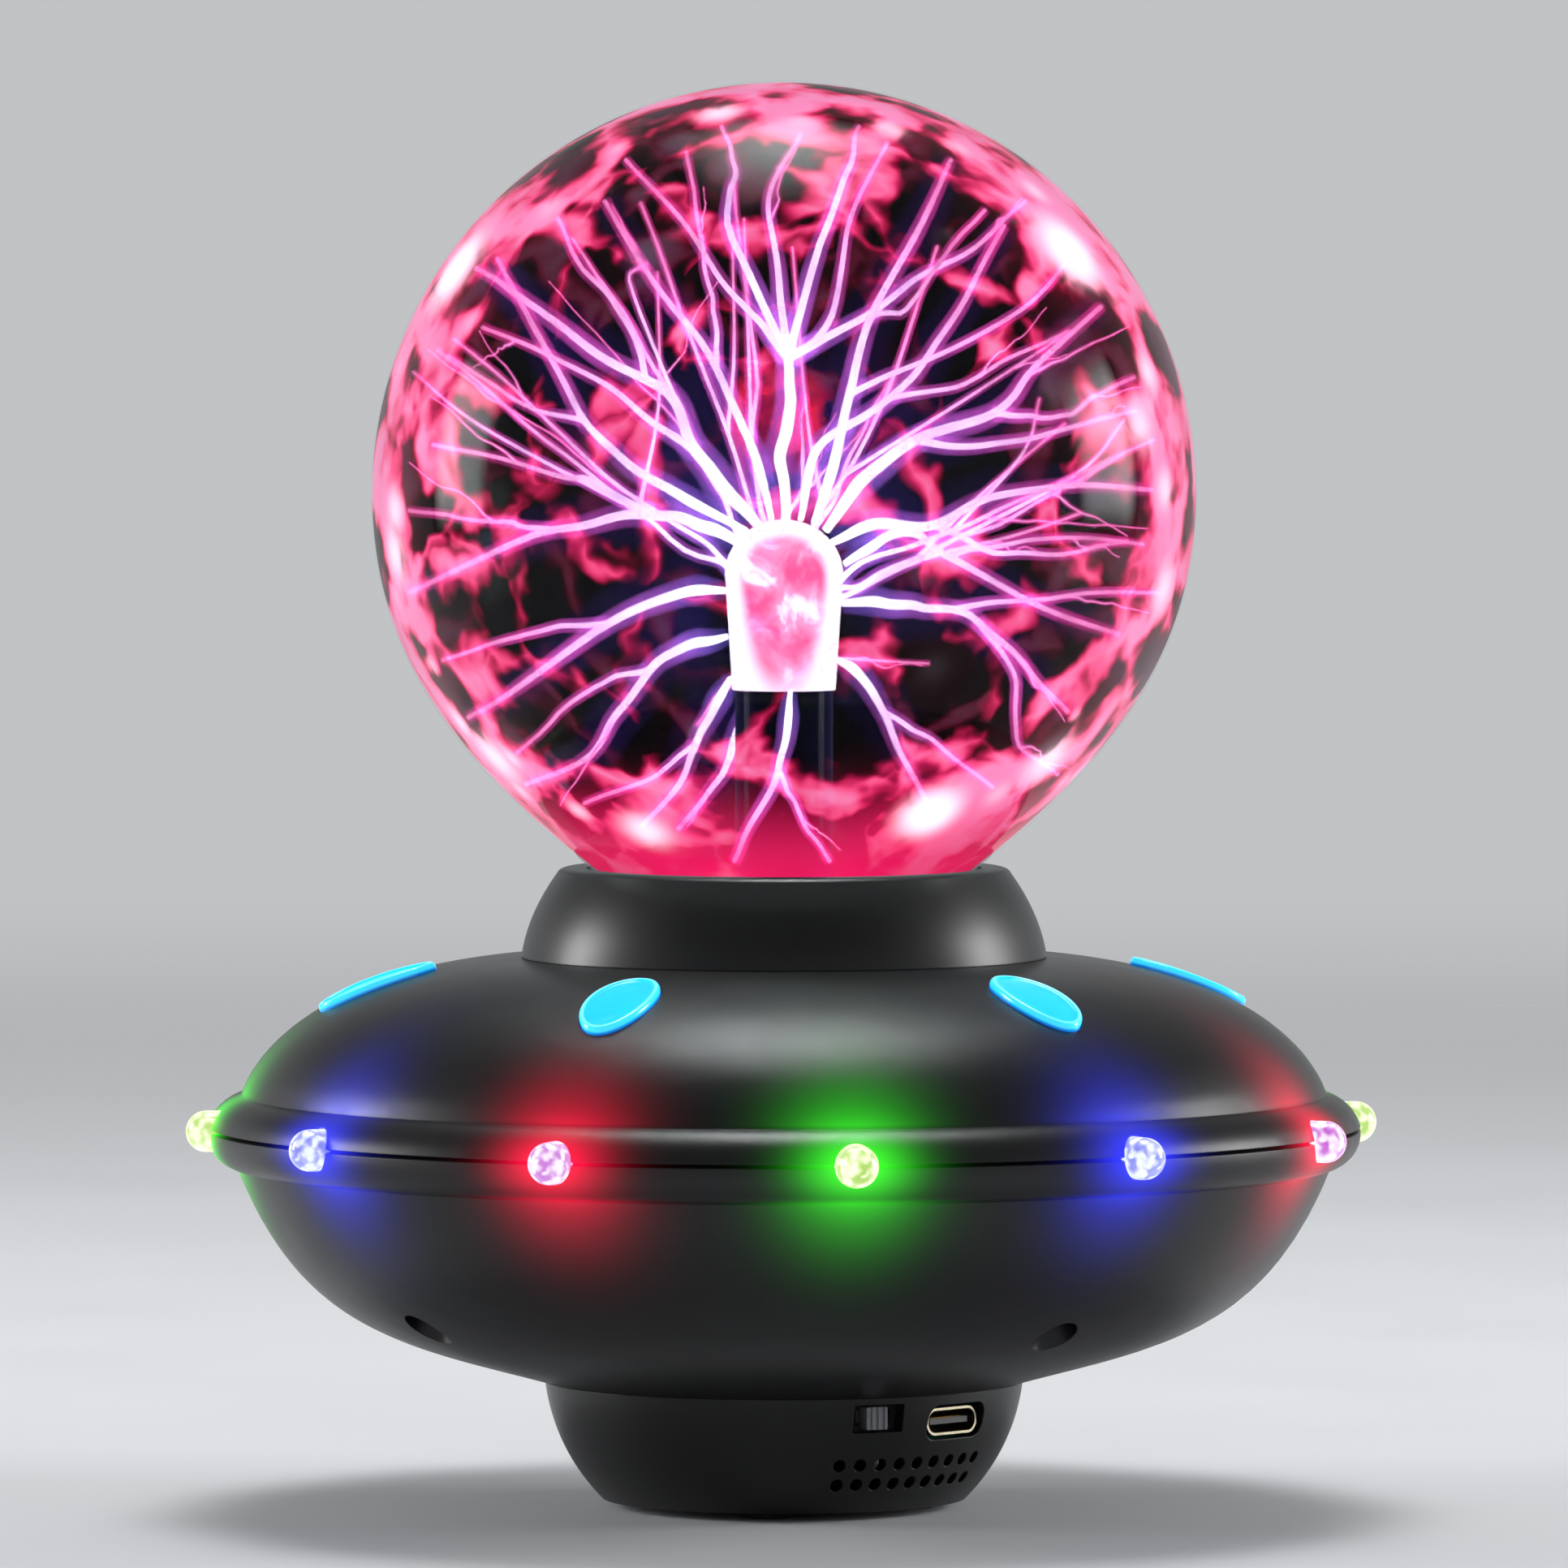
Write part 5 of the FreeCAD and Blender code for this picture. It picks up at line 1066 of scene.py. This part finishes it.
bloom_points, bloom_faces, bloom_out = [(*BLOOM_AT, depth_on_gas(*BLOOM_AT, -1) * BLOOM_IN)], [], [0.0]
for ring in range(1, BLOOM_RINGS + 1):
    for i in range(RING):
        turn = 2 * math.pi * i / RING
        across = BLOOM_AT[0] + BLOOM_R * ring / BLOOM_RINGS * math.cos(turn)
        height = BLOOM_AT[1] + BLOOM_R * ring / BLOOM_RINGS * math.sin(turn)
        bloom_points.append((across, height, depth_on_gas(across, height, -1) * BLOOM_IN))
        bloom_out.append(ring / BLOOM_RINGS)
for i in range(RING):
    j = (i + 1) % RING
    bloom_faces.append((0, 1 + i, 1 + j))
    for low_ring in range(1, 1 + (BLOOM_RINGS - 1) * RING, RING):
        high_ring = low_ring + RING
        bloom_faces.append((low_ring + i, high_ring + i, high_ring + j, low_ring + j))
bloom_mesh = bpy.data.meshes.new("plasma_bloom")
bloom_mesh.from_pydata([tuple(p) for p in to_ball(np.array(bloom_points))], [], bloom_faces)
bloom_mesh.shade_smooth()
mark(bloom_mesh, "out", bloom_out)

# Glowing gas: red folds that fade out towards a ragged edge.
folds = material("plasma_bloom")
tree = folds.node_tree
out = node(tree, "Attribute", out="Fac", attribute_name="out")
place = node(tree, "TexCoord", out="Object")
fold = node(tree, "TexNoise", {"Vector": place, "Scale": 1 / (BLOOM_FOLD * MM), "Detail": 3.0,
                               "Distortion": 1.2})
ragged = node(tree, "Math", {0: fold, 1: 1.1, 2: out}, operation="MULTIPLY_ADD")
amount = node(tree, "MapRange", {"Value": ragged, "From Min": 1.45, "From Max": 1.15},
              interpolation_type="SMOOTHSTEP")
bright = node(tree, "MapRange", {"Value": fold, "From Min": 0.35, "From Max": 0.62},
              interpolation_type="SMOOTHSTEP")
light = node(tree, "Mix", {0: bright, 6: BLOOM_DEEP, 7: BLOOM_RED}, out=2, data_type="RGBA")
power = node(tree, "MapRange", {"Value": bright, "To Min": THROUGH * 0.3, "To Max": THROUGH * 0.9})
power = node(tree, "Math", {0: power, 1: amount}, operation="MULTIPLY")
glow = node(tree, "Emission", {"Color": light, "Strength": power})
clear = node(tree, "BsdfTransparent", {"Color": "#ffffff"})
skin = node(tree, "AddShader", {0: glow, 1: clear})
node(tree, "OutputMaterial", {"Surface": skin})
bloom = shown("plasma_bloom", bloom_mesh, folds)
only_seen(bloom)
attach(bloom, "root")

# Glow on the glass: where the discharge spreads over the inside of the globe it makes pink veils round dark
# gaps, bright spots at the strands' feet, and a red haze at its bottom. The shell that carries it is tinted
# dark, a painted shade over the globe's inside.

VEIL_DEEP = "#b8003c"
VEIL_RED = "#fa2a70"
VEIL_PINK = "#ff8cc0"
VEIL_WHITE = "#ffe2f4"
LOW_CRIMSON = "#e21052"       # the haze that fills the bottom of the globe
VEIL_CELL = 17.0              # mm between the dark gaps
VEIL_HALF = 4.2               # mm, half the width of a veil
VEIL_CLOUD = 8.0              # mm, unevenness of the veils
VEIL_WARP = 8.0               # mm that the veils are pulled out of shape
WARP_SIZE = 17.0              # mm
# Painted shade: the gas shell darkens everything seen through it.
GAS_SHADE_TINT = "#555356"          # what one pass lets by, which is GAS_SHADE_SHARE
GAS_UNDER = 0.25              # mm under the outer surface, where the glass makes the glow seem to lie
GAS_ROUND = 320               # points round it
FOOT_FADE = 1.5               # how sharply a bright spot ends
LOW_FULL, LOW_NONE = 0.077, 0.092       # metres, heights where the low haze is full and where it ends
TAPER_ANGLE = 10.0            # degrees below the equator where the glass leaves the sphere
CONE_ANGLE = 38.1             # slope of the glass at the collar
SEAT_R, SEAT_Z = 23.4, 77.4   # mm, where the cone stands in the collar
PULL_HIGH, PULL_LOW = 15.8, 15.0        # mm, how far each end's direction is kept in the curve
NECK_R, NECK_Z = 15.0, 62.0   # mm

low = math.radians(TAPER_ANGLE)
slope = math.radians(CONE_ANGLE)
taper = np.array([(GLOBE_R * math.cos(low), GLOBE_Z - GLOBE_R * math.sin(low)), (0, 0), (0, 0),
                  (SEAT_R, SEAT_Z)])
taper[1] = taper[0] - PULL_HIGH * np.array([math.sin(low), math.cos(low)])
taper[2] = taper[3] + PULL_LOW * np.array([math.cos(slope), math.sin(slope)])
neck_top = SEAT_Z - (SEAT_R - NECK_R) * math.tan(slope)
outline = [(GLOBE_R * math.sin(t), GLOBE_Z + GLOBE_R * math.cos(t))
           for t in np.linspace(0, math.pi / 2 + low, 120)]
outline += [tuple((1 - t) ** 3 * taper[0] + 3 * t * (1 - t) ** 2 * taper[1] + 3 * t * t * (1 - t) * taper[2]
                  + t ** 3 * taper[3]) for t in np.linspace(0, 1, 60)[1:]]
outline += [(SEAT_R + (NECK_R - SEAT_R) * t, SEAT_Z + (neck_top - SEAT_Z) * t) for t in (0.33, 0.66, 1)]
outline += [(NECK_R, neck_top + (NECK_Z - neck_top) * t) for t in (0.25, 0.5, 0.75, 1)]
outline = np.array(outline)
run = np.gradient(outline, axis=0)
run /= np.linalg.norm(run, axis=1)[:, None]
inner = outline + np.column_stack([run[:, 1], -run[:, 0]]) * GAS_UNDER
inner[0] = (0, GLOBE_Z + GLOBE_R - GAS_UNDER)
gas_profile = [(0 if i == 0 else max(r, 0.01), h) for i, (r, h) in enumerate(inner)] + [(0, NECK_Z)]
gas_mesh = spun("gas_glow", gas_profile, GAS_ROUND)
where = np.zeros(len(gas_mesh.vertices) * 3)
gas_mesh.vertices.foreach_get("co", where)
where = where.reshape(-1, 3) / MM
foot_glow = np.zeros(len(where))
for (_, size, bright), foot in zip(feet, to_ball(np.array([tip for tip, _, _ in feet])) / MM):
    gap = np.linalg.norm(where - foot, axis=1)
    foot_glow = np.maximum(foot_glow, np.exp(-(gap / size) ** FOOT_FADE) * bright)
mark(gas_mesh, "foot", foot_glow)

# Glowing gas against the glass: pink veils that fade into darkness, and a rose rim, on a dark tint that is
# painted shade.
veil = material("plasma_veil")
tree = veil.node_tree
place = node(tree, "TexCoord", out="Object")
foot = node(tree, "Attribute", out="Fac", attribute_name="foot")
pull = node(tree, "TexNoise", {"Vector": place, "Scale": 1 / (WARP_SIZE * MM), "Detail": 3.0,
                               "Roughness": 0.55}, out=1)
centred = node(tree, "VectorMath", {0: pull, 1: (0.5, 0.5, 0.5)}, operation="SUBTRACT")
scaled = node(tree, "VectorMath", {0: centred, "Scale": 2 * VEIL_WARP * MM}, operation="SCALE")
bent = node(tree, "VectorMath", {0: place, 1: scaled}, operation="ADD")
cells = node(tree, "TexVoronoi", {"Vector": bent, "Scale": 1 / (VEIL_CELL * MM)},
             feature="DISTANCE_TO_EDGE")
ridge = node(tree, "MapRange", {"Value": cells, "From Min": 0.0, "From Max": VEIL_HALF / VEIL_CELL,
                                "To Min": 1.0, "To Max": 0.0})
cloud = node(tree, "TexNoise", {"Vector": bent, "Scale": 1 / (VEIL_CLOUD * MM), "Detail": 2.0,
                                "Roughness": 0.45})
uneven = node(tree, "MapRange", {"Value": cloud, "From Min": 0.25, "From Max": 0.75, "To Min": -0.7,
                                 "To Max": 0.7})
facing = node(tree, "LayerWeight", {"Blend": 0.5}, out="Facing")
limb = node(tree, "MapRange", {"Value": facing, "From Min": 0.25, "From Max": 0.95, "To Max": 0.75})
depth = node(tree, "Math", {0: ridge, 1: uneven}, operation="ADD")
depth = node(tree, "Math", {0: depth, 1: limb}, operation="ADD")
depth = node(tree, "Math", {0: foot, 1: 1.1, 2: depth}, operation="MULTIPLY_ADD")
amount = node(tree, "MapRange", {"Value": depth, "From Min": 0.66, "From Max": 1.24},
              interpolation_type="SMOOTHSTEP")
height = node(tree, "SeparateXYZ", {0: place}, out="Z")
low_down = node(tree, "MapRange", {"Value": height, "From Min": LOW_NONE, "From Max": LOW_FULL},
                interpolation_type="SMOOTHSTEP")
amount = node(tree, "Math", {0: amount, 1: low_down}, operation="MAXIMUM")
light = node(tree, "Mix", {0: amount, 6: VEIL_DEEP, 7: VEIL_RED}, out=2, data_type="RGBA")
pink = node(tree, "MapRange", {"Value": depth, "From Min": 0.95, "From Max": 1.75},
            interpolation_type="SMOOTHSTEP")
light = node(tree, "Mix", {0: pink, 6: light, 7: VEIL_PINK}, out=2, data_type="RGBA")
crimson = node(tree, "Math", {0: low_down, 1: 0.75}, operation="MULTIPLY")
light = node(tree, "Mix", {0: crimson, 6: light, 7: LOW_CRIMSON}, out=2, data_type="RGBA")
white = node(tree, "MapRange", {"Value": foot, "From Min": 0.25, "From Max": 0.9},
             interpolation_type="SMOOTHSTEP")
light = node(tree, "Mix", {0: white, 6: light, 7: VEIL_WHITE}, out=2, data_type="RGBA")
power = node(tree, "Math", {0: foot, 1: 0.5, 2: amount}, operation="MULTIPLY_ADD")
glow = node(tree, "Emission", {"Color": light, "Strength": power})
# Painted shade: the dark tint of what the shell lets through.
clear = node(tree, "BsdfTransparent", {"Color": GAS_SHADE_TINT})
skin = node(tree, "AddShader", {0: glow, 1: clear})
node(tree, "OutputMaterial", {"Surface": skin})
gas = shown("gas_glow", gas_mesh, veil)
only_seen(gas)
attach(gas, "root")

# Globe: one piece of soda glass, blown, 1.5 mm thick, with its cone and neck drawn down to the stem.
# It is clear, so all it shows is what mirrors in it: tall soft bands at its sides and one on top.

CLEAR = "#fbfdfd"
SEED = 30.0                   # mm, slow waves left by blowing
SEED_DEPTH = 0.01             # mm
MIRROR = (0.006, 0.6)         # share that mirrors, seen straight on and at a grazing angle

# Soda glass, blown: clear and sharply glossy, brighter towards its edge.
soda_glass = material("glass_soda_blown")
tree = soda_glass.node_tree
place = node(tree, "TexCoord", out="Object")
waves = node(tree, "TexNoise", {"Vector": place, "Scale": 1 / (SEED * MM), "Detail": 1.0})
bump = node(tree, "Bump", {"Height": waves, "Distance": SEED_DEPTH * MM})
mirror = node(tree, "BsdfGlossy", {"Color": "#ffffff", "Roughness": 0.02, "Normal": bump})
through = node(tree, "BsdfTransparent", {"Color": CLEAR})
facing = node(tree, "LayerWeight", {"Blend": 0.5}, out="Facing")
grazing = node(tree, "Math", {0: facing, 1: 5.0}, operation="POWER")
share = node(tree, "MapRange", {"Value": grazing, "To Min": MIRROR[0], "To Max": MIRROR[1]})
skin = node(tree, "MixShader", {0: share, 1: through, 2: mirror})
node(tree, "OutputMaterial", {"Surface": skin})
dress(soda_glass, "glass_globe")

# Studio: a pale matt board under the ball, which runs out into a dim, even room, darker overhead.
# One softbox above lights the dome, and two at the sides mirror in the globe.

FLOOR = "#d4d6d9"
FLOOR_CLOUD = "#ced0d3"
FLOOR_HALF = 12               # metres
ROOM = "#f2f4f7"
ROOM_LIGHT = 0.6
ROOM_TOP_LIGHT = 0.22
ROOM_LOW, ROOM_HIGH = 0.16, 0.5       # sine of the angles above level between which it darkens
FADE_FROM, FADE_TO = 0.3, 1.5   # metres over which the board runs out into the room
floor_mesh = bpy.data.meshes.new("studio_floor")
corners = [(x * FLOOR_HALF, y * FLOOR_HALF, 0) for x, y in ((-1, -1), (1, -1), (1, 1), (-1, 1))]
floor_mesh.from_pydata(corners, [], [(0, 1, 2, 3)])
# Painted board: pale grey, matt, with a barely visible cloudiness.
painted = plain("board_painted", FLOOR_CLOUD, FLOOR, size=60.0, rough=0.7, depth=0.0)
tree = painted.node_tree
place = node(tree, "TexCoord", out="Object")
away = node(tree, "VectorMath", {0: place}, out="Value", operation="LENGTH")
fade = node(tree, "MapRange", {"Value": away, "From Min": FADE_FROM, "From Max": FADE_TO},
            interpolation_type="SMOOTHSTEP")
board = next(n for n in tree.nodes if n.type == "BSDF_PRINCIPLED").outputs[0]
clear = node(tree, "BsdfTransparent")
skin = node(tree, "MixShader", {0: fade, 1: board, 2: clear})
tree.links.new(skin, next(n for n in tree.nodes if n.type == "OUTPUT_MATERIAL").inputs[0])
floor = shown("studio_floor", floor_mesh, painted)

world = bpy.data.worlds.new("studio_room")
bpy.context.scene.world = world
world.use_nodes = True
tree = world.node_tree
tree.nodes.clear()
way = node(tree, "TexCoord", out="Generated")
up = node(tree, "SeparateXYZ", {0: way}, out="Z")
strength = node(tree, "MapRange", {"Value": up, "From Min": ROOM_LOW, "From Max": ROOM_HIGH,
                                   "To Min": ROOM_LIGHT, "To Max": ROOM_TOP_LIGHT},
                interpolation_type="SMOOTHSTEP")
room = node(tree, "Background", {"Color": ROOM, "Strength": strength})
node(tree, "OutputWorld", {"Surface": room})


AIM_HEIGHT = 0.08             # metres, what the softboxes point at


def softbox(name, turn, distance, height, width, tall, power, soft):
    """A lit cloth panel, in metres, whose light fades over its outer share, soft.

    turn is in degrees from the camera's side."""
    mesh = bpy.data.meshes.new(name)
    w, h = width / 2, tall / 2
    mesh.from_pydata([(-w, -h, 0), (w, -h, 0), (w, h, 0), (-w, h, 0)], [], [(0, 1, 2, 3)])
    cloth = material(name + "_cloth")
    tree = cloth.node_tree
    place = node(tree, "TexCoord", out="Object")
    x, y = node(tree, "SeparateXYZ", {0: place}, out=slice(2))
    fades = []
    for axis, half in ((x, w), (y, h)):
        off = node(tree, "Math", {0: axis}, operation="ABSOLUTE")
        fades.append(node(tree, "MapRange", {"Value": off, "From Min": half, "From Max": half * (1 - soft)},
                          interpolation_type="SMOOTHSTEP"))
    fade = node(tree, "Math", {0: fades[0], 1: fades[1]}, operation="MULTIPLY")
    strength = node(tree, "Math", {0: fade, 1: power}, operation="MULTIPLY")
    light = node(tree, "Emission", {"Color": "#ffffff", "Strength": strength})
    node(tree, "OutputMaterial", {"Surface": light})
    panel = shown(name, mesh, cloth)
    angle = VIEW_TURN + math.radians(turn)
    spot = Vector((distance * math.sin(angle), -distance * math.cos(angle), height))
    panel.matrix_world = (Matrix.Translation(spot)
                          @ (Vector((0, 0, AIM_HEIGHT)) - spot).to_track_quat("Z", "Y").to_matrix().to_4x4())
    panel.visible_camera = False


softbox("softbox_top", turn=180, distance=0.28, height=1.0, width=0.6, tall=0.8, power=17.0, soft=1.0)
softbox("softbox_left", turn=-100, distance=0.8, height=0.24, width=0.36, tall=0.46, power=16.0, soft=0.5)
softbox("softbox_right", turn=100, distance=0.8, height=0.24, width=0.4, tall=0.46, power=16.0, soft=0.5)

# Camera: the long lens of a product picture, as high as the upper globe and looking slightly down.
# It stands to the left of the panel, so that the panel shows on the right of the foot.

CAMERA_DISTANCE = 1.7         # metres from the axis, as the heights
CAMERA_HEIGHT = 0.161
LOOK_AT = 0.0875              # height on the axis
LENS_LENGTH = 323.0           # mm
SENSOR = 36.0                 # mm
GAS_LAYERS = 24               # layers of glowing gas that a line of sight may pass

lens_data = bpy.data.cameras.new("product_camera")
lens_data.sensor_width = SENSOR
lens_data.lens = LENS_LENGTH
camera = bpy.data.objects.new("product_camera", lens_data)
bpy.context.scene.collection.objects.link(camera)
camera.location = toward * CAMERA_DISTANCE + Vector((0, 0, CAMERA_HEIGHT))
camera.rotation_euler = (Vector((0, 0, LOOK_AT)) - camera.location).to_track_quat("-Z", "Y").to_euler()
bpy.context.scene.camera = camera
bpy.context.scene.view_settings.view_transform = "Standard"
bpy.context.scene.cycles.transparent_max_bounces = GAS_LAYERS
